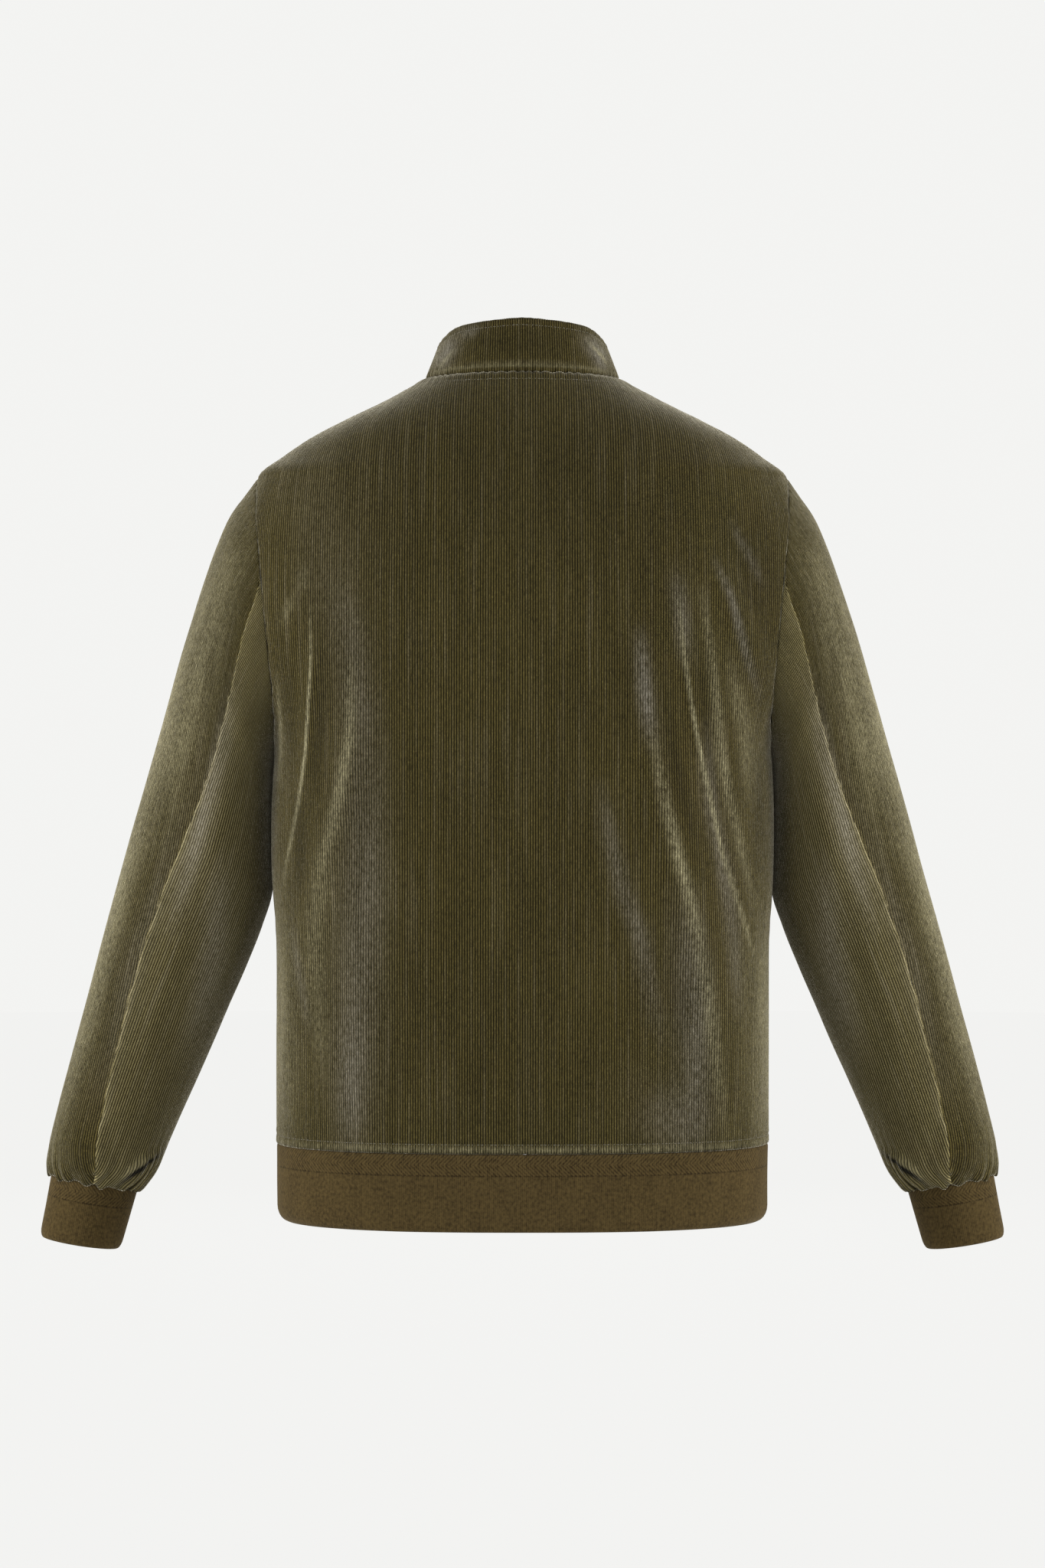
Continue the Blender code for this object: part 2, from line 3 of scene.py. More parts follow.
import bpy
import numpy as np
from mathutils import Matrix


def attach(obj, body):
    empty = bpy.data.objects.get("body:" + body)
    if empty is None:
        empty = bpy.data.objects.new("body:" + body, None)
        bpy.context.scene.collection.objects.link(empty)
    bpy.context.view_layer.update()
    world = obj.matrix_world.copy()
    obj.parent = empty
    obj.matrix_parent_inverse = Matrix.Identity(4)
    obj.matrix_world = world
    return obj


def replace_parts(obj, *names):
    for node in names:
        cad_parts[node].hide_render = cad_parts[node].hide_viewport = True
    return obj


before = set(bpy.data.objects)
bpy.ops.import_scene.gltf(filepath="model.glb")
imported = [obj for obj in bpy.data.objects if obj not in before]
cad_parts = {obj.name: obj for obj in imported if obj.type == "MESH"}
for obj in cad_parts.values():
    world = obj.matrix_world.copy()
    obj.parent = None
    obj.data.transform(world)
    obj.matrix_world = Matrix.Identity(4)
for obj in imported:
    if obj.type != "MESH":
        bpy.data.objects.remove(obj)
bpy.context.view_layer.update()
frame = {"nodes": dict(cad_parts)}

# Sizes shared by the pieces, in metres
neckHalfWidth = 0.0795
neckDrop = 0.075
tipZ = -0.083
underarmZ = -0.315
armholeHalfDepth = 0.078
hemZ = -0.632
ribHemZ = -0.695
zipChannel = 0.0055
walePitch = 0.0021
columnStep = walePitch / 3
ribPitch = 0.00155
chevronHeight = 0.0087
backNeckDepth = 0.072
seamWidth = 0.0016
grooveWidth = 0.0011
grooveDepth = 0.0005
cuffDown = np.array([.232, 0, -.9727])
middleZ = -0.34
sides = ((1, "left"), (-1, "right"))


def table(names, rows):
    # Named columns of a table.
    return dict(zip(names.split(), np.array(rows, float).T))


sideLine = table("z x", [
    (0.000, 0.0795), (-0.0194, 0.1150), (-0.0350, 0.1480), (-0.0508, 0.1773),
    (-0.0666, 0.1995), (-0.0830, 0.2190), (-0.1100, 0.2182), (-0.1365, 0.2160),
    (-0.1660, 0.2130), (-0.2220, 0.2075), (-0.2600, 0.2042), (-0.2970, 0.2032),
    (-0.3150, 0.2035), (-0.4500, 0.2035), (-0.6320, 0.2035), (-0.6950, 0.2033),
])

depthLine = table("z back front power", [
    (0.000, 0.0720, 0.0300, 2.00), (-0.0194, 0.0850, 0.0440, 2.03),
    (-0.040, 0.0970, 0.0600, 2.08), (-0.060, 0.1060, 0.0795, 2.13),
    (-0.083, 0.1140, 0.0995, 2.20), (-0.150, 0.1270, 0.1170, 2.30),
    (-0.220, 0.1330, 0.1270, 2.38), (-0.270, 0.1340, 0.1290, 2.55),
    (-0.315, 0.1340, 0.1300, 2.80), (-0.400, 0.1310, 0.1290, 2.70),
    (-0.632, 0.1270, 0.1250, 2.50), (-0.695, 0.1250, 0.1230, 2.50),
])

sleeveTable = table("outerX outerZ innerX innerZ halfDepth forward backSeam frontSeam", [
    (.219, -.083, .2035, -.315, .078, 0, 76, 210), (.23, -.098, .2046, -.32, .0775, 0, 80, 211),
    (.2414, -.114, .2052, -.3255, .077, 0, 83, 212), (.253, -.14, .2056, -.332, .0755, 0, 86, 213),
    (.265, -.174, .2058, -.342, .074, 0, 88, 214), (.278, -.215, .2059, -.355, .072, .001, 88, 215),
    (.2905, -.258, .206, -.372, .07, .002, 87, 216), (.3025, -.3, .2064, -.394, .0675, .003, 83, 217),
    (.3155, -.3455, .2078, -.423, .0645, .004, 77, 218), (.3285, -.3925, .2168, -.454, .0615, .006, 72, 219),
    (.3418, -.439, .2296, -.486, .059, .008, 70, 220), (.3545, -.484, .2432, -.5175, .0565, .011, 70, 221),
    (.3655, -.5255, .257, -.55, .054, .014, 72, 222), (.377, -.567, .2712, -.5815, .0515, .017, 75, 223),
    (.387, -.6035, .285, -.6115, .0495, .019, 79, 224), (.3945, -.6355, .2978, -.64, .047, .02, 84, 225),
    (.3962, -.65, .3066, -.6585, .0415, .021, 89, 226), (.3928, -.6599, .3209, -.6721, .032, .021, 93, 227),
])

collarTable = table("round height lean", [
    (0, .0440, .0040), (45, .0390, .0060), (70, .0300, .0085), (90, .0250, .0095), (105, .0315, .0080),
    (120, .0370, .0060), (135, .0395, .0045), (150, .0400, .0030), (180, .0400, .0020),
])

# Folds in millimetres: a path of (x, z) points, the width on each side of it, and the height off the cloth.
sideBows = [
    (((204, -300), (203.7, -360), (203.7, -450)), 10, 10, 4.2),
    (((-204, -300), (-203.7, -360), (-203.7, -450)), 10, 10, 4.2),
]
backFolds = [
    (((-104, -290), (-117, -352), (-132, -409), (-147, -468), (-158, -530), (-164, -616)), 20, 16, 5.5),
    (((-96.3, -444), (-108.5, -530)), 12, 12, 1.4),
    (((-125.7, -196), (-129.4, -223.8), (-140.4, -296.8), (-146.5, -316.4), (-184.5, -450.7)),
     11, 4.5, 2.6),
    (((-142.8, -184), (-153.3, -232.4), (-157.6, -296.8), (-195.6, -434.1)), 10, 4.5, 2.2),
    (((-126, -230), (-150, -300), (-176, -420)), 14, 14, -3),
    (((-157, -168.6), (-174.1, -201.1), (-199.9, -263)), 12, 9, 3.5),
    (((-164.9, -149.6), (-192.5, -180.3)), 6, 6, -1.4),
    (((-196.8, -124.5), (-217, -147.8)), 3, 4, .9),
    (((171.1, -194.4), (168, -226.9), (171.1, -258.1), (176, -318.2), (184.5, -362.4)), 4.5, 11, 2.2),
    (((176, -200), (181, -300), (190, -380)), 10, 8, -2.2),
    (((141, -236), (135.5, -266.7), (137.3, -296.8), (141.6, -328), (158.2, -387.5), (166.8, -428),
      (172.9, -470)), 14, 18, 4.8),
    (((209.7, -141), (201.1, -130.6)), 3, 4, .8),
    (((136, -400), (134, -500), (130, -615)), 18, 14, 4.2),
    (((-186, -480), (-190, -560), (-189, -625)), 8, 10, 1.6),
    (((187, -470), (191, -550), (189, -625)), 10, 8, 1.6),
    *sideBows,
]
frontFolds = [
    (((150, -220), (128, -330), (98, -430), (85, -480)), 20, 15, 4.5),
    (((168, -300), (160, -420), (145, -590)), 15, 12, 3.5),
    (((178, -190), (160, -240), (136, -300)), 8, 5, 2.2),
    (((60, -330), (66, -450), (58, -560)), 18, 18, 1.8),
    (((186, -440), (182, -540), (186, -615)), 10, 8, -1.4),
    (((-146, -210), (-124, -320), (-98, -430)), 17, 21, 5),
    (((-172, -320), (-158, -450), (-132, -600)), 14, 13, 3.5),
    (((-180, -200), (-168, -255), (-142, -325)), 5, 9, 2.2),
    (((-50, -360), (-60, -480), (-54, -580)), 18, 16, 1.8),
    (((-190, -430), (-184, -530)), 9, 10, 1.4),
    *sideBows,
]
# The sleeves' folds, for a sleeve on the left, behind and in front.
sleeveBackFolds = [
    (((332, -664), (322, -653), (312, -645), (299, -639)), 2.2, 13, 3.6),
    (((338, -662), (336, -646), (340, -622)), 6, 6, -1),
    (((352, -664), (350, -640), (352, -605)), 6, 6, 1.1),
    (((372, -657), (368, -630), (362, -590)), 8, 6, 1.2),
    (((384, -652), (382, -632)), 5, 5, -1),
    (((268, -215), (279, -300), (292, -390)), 12, 10, 1.6),
    (((232, -215), (236, -280), (231, -350)), 14, 14, -2),
    (((222, -270), (238, -345), (262, -430)), 13, 13, 2),
    (((262, -430), (276, -500), (300, -580)), 14, 14, -1.8),
    (((306, -410), (322, -480), (338, -560)), 11, 10, 1.4),
]
sleeveFrontFolds = [
    (((236, -180), (262, -260), (280, -360)), 12, 16, 2.5),
    (((216, -330), (250, -400), (300, -425)), 9, 13, 3),
    (((232, -390), (268, -440), (322, -452)), 8, 12, 2.6),
    (((250, -430), (284, -478), (330, -492)), 8, 12, 2.2),
    (((272, -510), (300, -550), (338, -600)), 12, 10, 1.8),
    (((334, -664), (331, -645), (326, -620)), 6, 8, 1.6),
    (((350, -662), (351, -645), (352, -615)), 6, 6, -1.2),
    (((368, -660), (369, -640), (366, -610)), 7, 6, 1.4),
]

# Painted highlights, with a strength in place of a height: crests are narrow and warm, hazes are wide
# and grey. Shades are painted shade beside and between the folds.
backCrestHighlights = [
    (((137, -240), (136, -270), (137, -300), (143, -335), (150, -365), (159, -400)), 4.2, 4.6, .68),
    (((150, -365), (160, -400), (166, -440), (167, -480), (165, -520), (163, -570)), 8.5, 7.5, .36),
    (((171, -193), (170, -235), (172, -270), (174.5, -310), (180, -345), (186, -375), (193, -412)),
     1.5, 1.1, 1.15),
    (((199.5, -245), (197, -290), (196.5, -335)), 2, 1.6, .5),
    (((178, -158), (176, -178)), 4, 4, .32),
    (((197, -208), (184, -186)), 4.5, 3, .28),
    (((-104, -296), (-109, -330), (-117, -365), (-125, -400), (-133, -430), (-140, -460)), 4.2, 4.8, .72),
    (((-133, -430), (-146, -500), (-152, -540), (-157, -580), (-162, -615)), 4.8, 5.6, .36),
    (((-125, -190), (-129, -230), (-134, -260), (-139, -290), (-145, -320), (-152, -350), (-161, -390),
      (-170, -420), (-180, -450), (-189, -477)), 1.2, 1.8, 1.1),
    (((-143, -180), (-150, -220), (-156, -270), (-160, -310), (-168, -350), (-177, -390), (-188, -430)),
     3.5, 4.5, .55),
    (((-166, -230), (-178, -290), (-183, -345)), 8, 6, .34),
    (((205, -430), (204, -530), (203.5, -628)), 20, 20, .42),
    (((-203, -455), (-203, -540), (-203.5, -628)), 20, 20, .42),
    (((204, -628.5), (0, -628.8), (-204, -628.5)), 3, 3, .5),
]
# Wide painted highlights on the back's folds and shoulders.
backHazeHighlights = [
    (((150, -175), (138, -215), (134, -250), (128, -310)), 14, 16, .3),
    (((126, -280), (124, -340), (125, -400), (128, -470), (131, -550), (133, -632)), 17, 22, .42),
    (((137, -520), (138, -580), (139, -634)), 10, 12, .3),
    (((178, -60), (165, -130), (156, -215)), 40, 24, .12),
    (((186, -450), (180, -490), (172, -535)), 4, 4, .35),
    (((-94, -215), (-98, -260), (-104, -305)), 6, 7, .75),
    (((-128, -425), (-137, -490), (-140, -560), (-141, -632)), 12, 14, .5),
    (((-62, -340), (-80, -420), (-95, -460), (-102, -500), (-111, -540)), 7, 8, .42),
    (((-122, -165), (-127, -200), (-132, -240)), 7, 7, .4),
    (((-147, -290), (-152, -360), (-161, -400), (-169, -450), (-173, -520)), 7, 7, .45),
    (((-153, -155), (-165, -180), (-172, -205), (-180, -235), (-192, -265)), 3.5, 3, .6),
    (((-168, -126), (-182, -150), (-195, -176)), 3.5, 3, .45),
    (((-100, -580), (-120, -605), (-140, -630)), 22, 26, .28),
]
# Painted highlights at the collar's two ends.
collarHazeHighlights = [
    (((70, 3), (64, 16), (54, 30)), 9, 8, .8),
    (((52, 30), (34, 37)), 5, 5, .5),
    (((-70, 2), (-62, 16), (-50, 31)), 7, 8, .8),
]
# Painted highlights along the collar's foot and near its ends.
collarCrestHighlights = [
    (((78, 2), (40, 4.5), (0, 5), (-40, 4.5), (-78, 2)), 1.6, 1.6, .6),
    (((71, 4), (55, 20)), 1.6, 1.6, .45),
    (((-53, 26), (-64, 16), (-72, 6)), 1.4, 1.4, .7),
]
# Painted shade across the collar.
collarShades = [
    (((50, 18), (20, 23), (-20, 23), (-45, 18)), 11, 11, .65),
    (((60, -30), (30, -15), (-30, -15), (-60, -30)), 12, 12, .25),
]
# Painted highlights on the fronts' folds and down their sides.
frontCrestHighlights = [
    (((131, -275), (124, -340), (112, -400), (98, -455)), 5.5, 6, .5),
    (((167, -330), (160, -420), (149, -525)), 4.5, 5, .42),
    (((176, -200), (164, -238)), 3.5, 3.5, .35),
    (((-127, -285), (-119, -350), (-104, -420)), 6, 6.5, .52),
    (((-169, -345), (-158, -450), (-140, -570)), 5, 4.5, .4),
    (((205, -430), (204, -530), (203.5, -628)), 18, 18, .38),
    (((-203, -455), (-203, -540), (-203.5, -628)), 18, 18, .38),
]
# Wide painted highlights on the fronts' folds.
frontHazeHighlights = [
    (((112, -320), (96, -430), (86, -540)), 14, 17, .34),
    (((150, -165), (142, -235)), 9, 10, .34),
    (((178, -420), (172, -530)), 7, 7, .3),
    (((-110, -330), (-93, -430), (-82, -560)), 16, 15, .34),
    (((-146, -170), (-134, -250)), 10, 9, .32),
    (((-50, -420), (-56, -520)), 9, 10, .2),
]
# Painted shade beside the back's folds, over the upper back and near the armholes.
backShades = [
    (((-140, -110), (-175, -150), (-190, -190), (-185, -260)), 22, 18, .35),
    (((160, -215), (162.5, -290), (171, -360)), 5.5, 5.5, .85),
    (((183, -345), (178, -390), (183, -430)), 5, 5, .8),
    (((189, -225), (188, -290), (190, -340)), 6, 6, .55),
    (((-114, -250), (-121, -310), (-131, -355), (-143, -410)), 5, 6, .85),
    (((-116, -470), (-127, -545)), 8, 8, .55),
    (((-142, -235), (-150, -310), (-158, -360)), 3.5, 3.5, .9),
    (((-192, -300), (-192, -360), (-197, -420)), 6, 6, .8),
    (((-182, -175), (-193, -200)), 6, 6, .5),
    (((130, -75), (0, -85), (-150, -80)), 75, 75, .42),
    (((-196, -90), (-198, -130), (-203, -200)), 20, 20, .45),
]
# Painted highlights down the sleeves' outer side and on the cuff pleat.
sleeveCrestHighlights = [
    (((240, -110), (262, -160), (292, -260), (318, -360), (345, -460), (372, -560), (392, -640)),
     14, 18, .62),
    (((228, -130), (250, -190), (276, -290), (300, -380)), 18, 14, .42),
    (((332, -664), (321, -653), (309, -643)), 4, 1.5, .35),
]
# Wide painted highlights on the sleeves.
sleeveHazeHighlights = [
    (((238, -250), (250, -320), (268, -390), (288, -455)), 9, 6, .42),
    (((245, -400), (252, -460), (262, -520), (274, -560)), 11, 10, .36),
    (((262, -320), (290, -400), (318, -480), (340, -560), (352, -610)), 10, 10, .2),
]
# Painted shade in the cuff pleat's crease and beside the armpit.
sleeveShades = [
    (((335, -667), (320.5, -655.5), (311, -647.5), (297, -640.5)), 1.7, 1.7, 3.4),
    (((206, -280), (207, -360), (212, -430)), 10, 10, .7),
]


def smooth(at, xs, ys):
    # Cubic interpolation through a table's points that never overshoots them.
    order = np.argsort(xs)
    xs, ys = xs[order], ys[order]
    step = np.diff(xs)
    slope = np.diff(ys) / step
    product = slope[:-1] * slope[1:]
    total = np.where(slope[:-1] + slope[1:] == 0, 1, slope[:-1] + slope[1:])
    inner = np.where(product > 0, 2 * product / total, 0)
    bend = np.concatenate([slope[:1], inner, slope[-1:]])
    at = np.clip(at, xs[0], xs[-1])
    k = np.clip(np.searchsorted(xs, at, side="right") - 1, 0, len(step) - 1)
    t = (at - xs[k]) / step[k]
    rise = ys[k] + t * step[k] * bend[k]
    square = t * t * (3 * slope[k] - 2 * bend[k] - bend[k + 1]) * step[k]
    cube = t * t * t * (bend[k] + bend[k + 1] - 2 * slope[k]) * step[k]
    return rise + square + cube


def unit(vectors):
    return vectors / np.maximum(np.linalg.norm(vectors, axis=-1, keepdims=True), 1e-12)


def arcOf(points):
    # Distance along a line of points from its first.
    return np.concatenate([[0], np.cumsum(np.linalg.norm(np.diff(points, axis=0), axis=1))])


def lineAt(at, along, points):
    return np.column_stack([np.interp(at, along, points[:, i]) for i in range(points.shape[1])])


def outward(points, across, middle):
    # Normals of a row of points, from the direction across it, turned away from its middle.
    normals = unit(np.cross(np.gradient(points, axis=0), across))
    return normals if ((points - middle) * normals).sum() > 0 else -normals


def mirrored(rows, side):
    flip = np.array([side, 1, 1])
    return [(u, points * flip, normals * flip) for u, points, normals in rows]


def ticks(low, high, step=columnStep):
    # Multiples of step between two ends, with the ends.
    inner = np.arange(math.ceil((low + step * 0.3) / step), (high - step * 0.3) / step) * step
    return np.concatenate([[low], inner, [high]])


def stepped(low, high, step, first=(), last=()):
    # Distances from low to high in even steps, closer together at its ends.
    start = [low + d for d in first]
    end = [high - d for d in last]
    middleLow = start[-1] if start else low
    middleHigh = end[0] if end else high
    count = max(1, round((middleHigh - middleLow) / step))
    middle = list(np.linspace(middleLow, middleHigh, count + 1))
    return np.array(sorted(set([low] + start + middle[1:-1] + end + [high])))


def sway(u, v, seed):
    # Low uneven waves over a piece, between about -1 and 1.
    pick = np.random.default_rng(seed)
    total = np.zeros_like(u)
    for across, along, share in ((5, 2, .34), (8.5, 3.1, .26), (13, 2.2, .2), (21, 5.5, .12), (34, 7, .08)):
        phase = pick.uniform(0, 2 * math.pi, 2)
        lean = pick.uniform(-1, 1)
        total += share * np.sin(2 * math.pi * (across * u + lean * along * v) + phase[0]
                                + 1.3 * np.sin(2 * math.pi * along * v + phase[1]))
    return total


def foldLift(points, folds, side=1):
    # Sum of the folds at each point, seen along Y: their heights, or how far they shade the cloth.
    spot = points[:, [0, 2]] * [1000 * side, 1000]
    lift = np.zeros(len(spot))
    for path, left, right, height in folds:
        path = np.array(path)
        lengths = arcOf(path)
        best = np.full(len(spot), 1e9)
        share = np.zeros(len(spot))
        turn = np.zeros(len(spot))
        for a, b, start in zip(path[:-1], path[1:], lengths):
            line = b - a
            offset = spot - a
            t = np.clip(offset @ line / (line @ line), 0, 1)
            away = np.linalg.norm(offset - t[:, None] * line, axis=1)
            nearer = away < best
            best = np.where(nearer, away, best)
            share = np.where(nearer, (start + t * np.linalg.norm(line)) / lengths[-1], share)
            turn = np.where(nearer, line[0] * offset[:, 1] - line[1] * offset[:, 0], turn)
        width = np.where(turn > 0, right, left)
        taper = np.sin(math.pi * np.clip(share, 0.03, 0.97)) ** 0.6
        lift += height * taper * np.exp(-((best / width) ** 2))
    return lift


def zipped(uA, firstA, uB, firstB):
    # Triangles between two rows of points that lie at uA and uB.
    nextA, nextB = uA[1:], uB[1:]
    fromA = np.argsort(np.concatenate([nextA, nextB]), kind="stable") < len(nextA)
    atA = np.cumsum(fromA)
    atB = np.cumsum(~fromA)
    one = np.where(fromA, firstA + atA - 1, firstB + atB)
    two = np.where(fromA, firstA + atA, firstB + atB - 1)
    three = np.where(fromA, firstB + atB, firstA + atA)
    return np.column_stack([one, two, three])


def facing(points, triangles, direction):
    # The triangles, turned so that they face along direction, given at each point.
    a, b, c = (points[triangles[:, i]] for i in range(3))
    across = np.cross(b - a, c - a)
    wrong = (across * direction[triangles[:, 0]]).sum(axis=1) < 0
    triangles = triangles.copy()
    triangles[wrong] = triangles[wrong][:, ::-1]
    return triangles


def sheetLift(piece, base, u, v, edges, where):
    # How far a sheet's outer face stands off its base, the same with its folds alone, and its
    # seam and shade mark: painted shade along seams, grooves and shades, and a painted highlight where a
    # roll's shade is below 0. Folds and shades count in full where "where" is 1, and otherFolds where it is
    # 0.
    side = piece.get("side", 1)
    lift = where * foldLift(base, piece.get("folds", ()), side)
    lift = (lift + (1 - where) * foldLift(base, piece.get("otherFolds", ()), side)) / 1000
    near = np.minimum.reduce(list(edges.values()))
    lift += piece["sway"][1] * sway(u, v, piece["sway"][0]) * np.clip(near / 0.03, 0, 1)
    soft = lift.copy()
    seam = np.zeros(len(u))
    for edge, wave, reach, height in piece.get("puckers", ()):  # uneven waves along an edge
        run = v if edge in ("first", "last") else u
        wander = 2.2 * np.sin(run * 71) + 1.4 * np.sin(run * 173 + 1)
        strength = 0.65 + 0.35 * np.sin(run * 47 + 2)
        lift += height * strength * np.sin(2 * math.pi * run / wave + wander) * np.exp(-edges[edge] / reach)
    for edge, width, depth, *shade in piece.get("rolls", ()):  # edges turned down into a seam
        lift -= depth * np.clip(1 - edges[edge] / width, 0, 1) ** 2
        # Painted shade along the seam line; a shade below 0 paints a highlight there instead.
        seam += (shade[0] if shade else 1) * np.exp(-((edges[edge] / seamWidth) ** 2))
    for edge, distance in piece.get("grooves", ()):  # lines pulled in by stitches
        away = np.exp(-(((edges[edge] - distance) / grooveWidth) ** 2))
        lift -= grooveDepth * away
        # Painted shade in the groove.
        seam += 0.35 * away
    # Painted shade along the shades' lines.
    seam += where * foldLift(base, piece.get("shades", ()), side)
    pitch, amplitude = piece["relief"]
    lift -= amplitude * np.cos(2 * math.pi * u / pitch)
    return lift, soft, seam


def shellRims(piece, rows, starts, innerU, innerStarts, points, middles):
    # The narrow faces that close a sheet along its first and last rows and up its two ends.
    rims = []
    for i, beside in ((0, 1), (len(rows) - 1, len(rows) - 2)):
        rim = zipped(rows[i][0], starts[i], innerU[i], innerStarts[i])
        rims.append(facing(points, rim, np.tile(middles[i] - middles[beside], (len(points), 1))))
    for end in () if piece.get("ring") else (0, -1):
        outerIds = starts[:-1] if end == 0 else starts[1:] - 1
        innerIds = innerStarts + [0 if end == 0 else len(us) - 1 for us in innerU]
        a, b, c, d = outerIds[:-1], outerIds[1:], innerIds[1:], innerIds[:-1]
        rim = np.concatenate([np.column_stack([a, b, c]), np.column_stack([a, c, d])])
        beside = outerIds + (1 if end == 0 else -1)
        toward = np.zeros_like(points)
        toward[outerIds] = piece["base"][outerIds] - piece["base"][beside]
        rims.append(facing(points, rim, toward))
    return np.concatenate(rims)


def clothMesh(piece, points, parts, same, uv, marks):
    # A sheet's mesh from its outer face, inner face and rims; same joins points that meet.
    triangles = np.concatenate(parts)
    mesh = bpy.data.meshes.new(piece["name"])
    mesh.vertices.add(len(points))
    mesh.vertices.foreach_set("co", points.ravel())
    mesh.loops.add(triangles.size)
    mesh.loops.foreach_set("vertex_index", same[triangles].ravel().astype(np.int32))
    mesh.polygons.add(len(triangles))
    mesh.polygons.foreach_set("loop_start", (np.arange(len(triangles)) * 3).astype(np.int32))
    part = np.repeat([0, 1, 2], [len(faces) for faces in parts])
    mesh.polygons.foreach_set("material_index", (part == 1).astype(np.int32))
    mesh.polygons.foreach_set("use_smooth", part < 2)
    mesh.update(calc_edges=True)
    layer = mesh.uv_layers.new(name="cloth")
    layer.data.foreach_set("uv", uv[triangles.ravel()].ravel().astype(np.float32))
    for mark, values in marks.items():
        layer = mesh.attributes.new(mark, "FLOAT", "POINT")
        layer.data.foreach_set("value", values.astype(np.float32))
    mesh.materials.append(piece["finish"])
    mesh.materials.append(piece["reverse"])
    mesh.validate()
    return mesh


def clothSheet(piece):
    # A thin shell of cloth, from rows of its outer face. Each row is (u, points, normals).
    rows = piece["rows"]
    counts = np.array([len(row[0]) for row in rows])
    starts = np.concatenate([[0], np.cumsum(counts)])
    u, base, normals = (np.concatenate([row[i] for row in rows]) for i in range(3))
    rowOf = np.repeat(np.arange(len(rows)), counts)
    middles = np.array([lineAt([0.5 * (row[0][0] + row[0][-1])], row[0], row[1])[0] for row in rows])
    climb = piece["climb"] if "climb" in piece else arcOf(middles)
    v = climb[rowOf]
    edges = {
        "low": v - climb[0],
        "high": climb[-1] - v,
        "first": u - u[starts[:-1]][rowOf],
        "last": u[starts[1:] - 1][rowOf] - u,
    }
    where = piece["where"](base) if "where" in piece else 1
    lift, soft, seam = sheetLift(piece, base, u, v, edges, where)
    shift = piece["shape"](base, normals, edges) if "shape" in piece else 0 * base
    outer = base + normals * lift[:, None] + shift
    piece.update(base=base, outer=outer, skinNormals=normals, starts=starts, climb=climb, us=u)

    # The inner face keeps every few points of each row.
    picks = [np.unique([*range(0, count, piece.get("coarse", 8)), count - 1]) for count in counts]
    innerU = [row[0][picked] for row, picked in zip(rows, picks)]
    innerStarts = len(u) + np.concatenate([[0], np.cumsum([len(picked) for picked in picks])[:-1]])
    kept = np.concatenate([start + picked for start, picked in zip(starts, picks)])
    inset = piece["wall"] + 0 * v[kept]
    for edge, width, depth in piece.get("innerRolls", ()):
        inset = inset - depth * np.clip(1 - edges[edge][kept] / width, 0, 1) ** 2
    inner = base[kept] + normals[kept] * (soft[kept] - inset)[:, None] + shift[kept]
    points = np.concatenate([outer, inner])

    def banded(us, firsts, directions):
        pairs = range(len(rows) - 1)
        bands = [zipped(us[i], firsts[i], us[i + 1], firsts[i + 1]) for i in pairs]
        return facing(points, np.concatenate(bands), directions)

    skin = banded([row[0] for row in rows], starts, normals)
    lining = banded(innerU, innerStarts, -np.concatenate([normals, normals[kept]]))
    rims = shellRims(piece, rows, starts, innerU, innerStarts, points, middles)
    same = np.arange(len(points))
    if piece.get("ring"):  # the two ends of each row are one line of points
        same[starts[1:] - 1] = starts[:-1]
        same[innerStarts + [len(us) - 1 for us in innerU]] = innerStarts
    side = piece.get("side", 1)
    # Marks for the finish: the seam mark is painted shade, and painted highlight below 0; crest and haze are
    # painted highlights.
    marks = {"seam": seam, "crest": where * foldLift(base, piece.get("crest", ()), side),
             "haze": where * foldLift(base, piece.get("haze", ()), side)}
    marks = {mark: np.concatenate([values, values[kept]]) for mark, values in marks.items()}
    flat = np.column_stack([u, v])
    mesh = clothMesh(piece, points, (skin, lining, rims), same, np.concatenate([flat, flat[kept]]), marks)
    made = bpy.data.objects.new(piece["name"], mesh)
    bpy.context.scene.collection.objects.link(made)
    piece["object"] = made
    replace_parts(made, piece["node"])
    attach(made, "jacket")
    size = f"{np.ptp(u):.3f} by {np.ptp(v):.3f} m laid flat"
    print(f"{piece['name']}: {len(skin) + len(lining) + len(rims)} triangles, {size}")
    return piece


# Body

def armholeDepthAt(z):
    # Half the armhole's depth at a height, 0 above and below it.
    share = (z - tipZ) / (underarmZ - tipZ)
    if not 0 < share < 1:
        return 0.0
    return armholeHalfDepth * math.sqrt(1 - (1 - 2 * share) ** 2)


def neckX(z):
    # Half the front neckline's width at a height.
    share = min(-z / neckDrop, 1.0)
    return max(neckHalfWidth * math.sqrt(1 - share * share), zipChannel)


def neckZ(x):
    # The front neckline's height at a distance from the middle.
    return -neckDrop * math.sqrt(1 - (x / neckHalfWidth) ** 2)


def bodyCurve(z, side):
    # One body section from the centre round to the side line: distances, points and its edge.
    power = smooth(z, depthLine["z"], depthLine["power"])
    deep = smooth(z, depthLine["z"], depthLine["back" if side > 0 else "front"])
    edgeShare = (armholeDepthAt(z) / deep) ** power
    wide = smooth(z, sideLine["z"], sideLine["x"]) / (1 - edgeShare) ** (1 / power)
    turn = np.linspace(0, math.pi / 2, 900)
    x = wide * np.sin(turn) ** (2 / power)
    y = side * deep * np.clip(np.cos(turn), 0, 1) ** (2 / power)
    points = np.column_stack([x, y, np.full(len(x), z)])
    along = arcOf(points)
    return along, points, float(np.interp(math.acos(math.sqrt(edgeShare)), turn, along))


def bodyPoints(u, curve):
    along, points, edge = curve
    found = lineAt(np.abs(u), along, points)
    found[:, 0] *= np.where(u < 0, -1, 1)
    return found


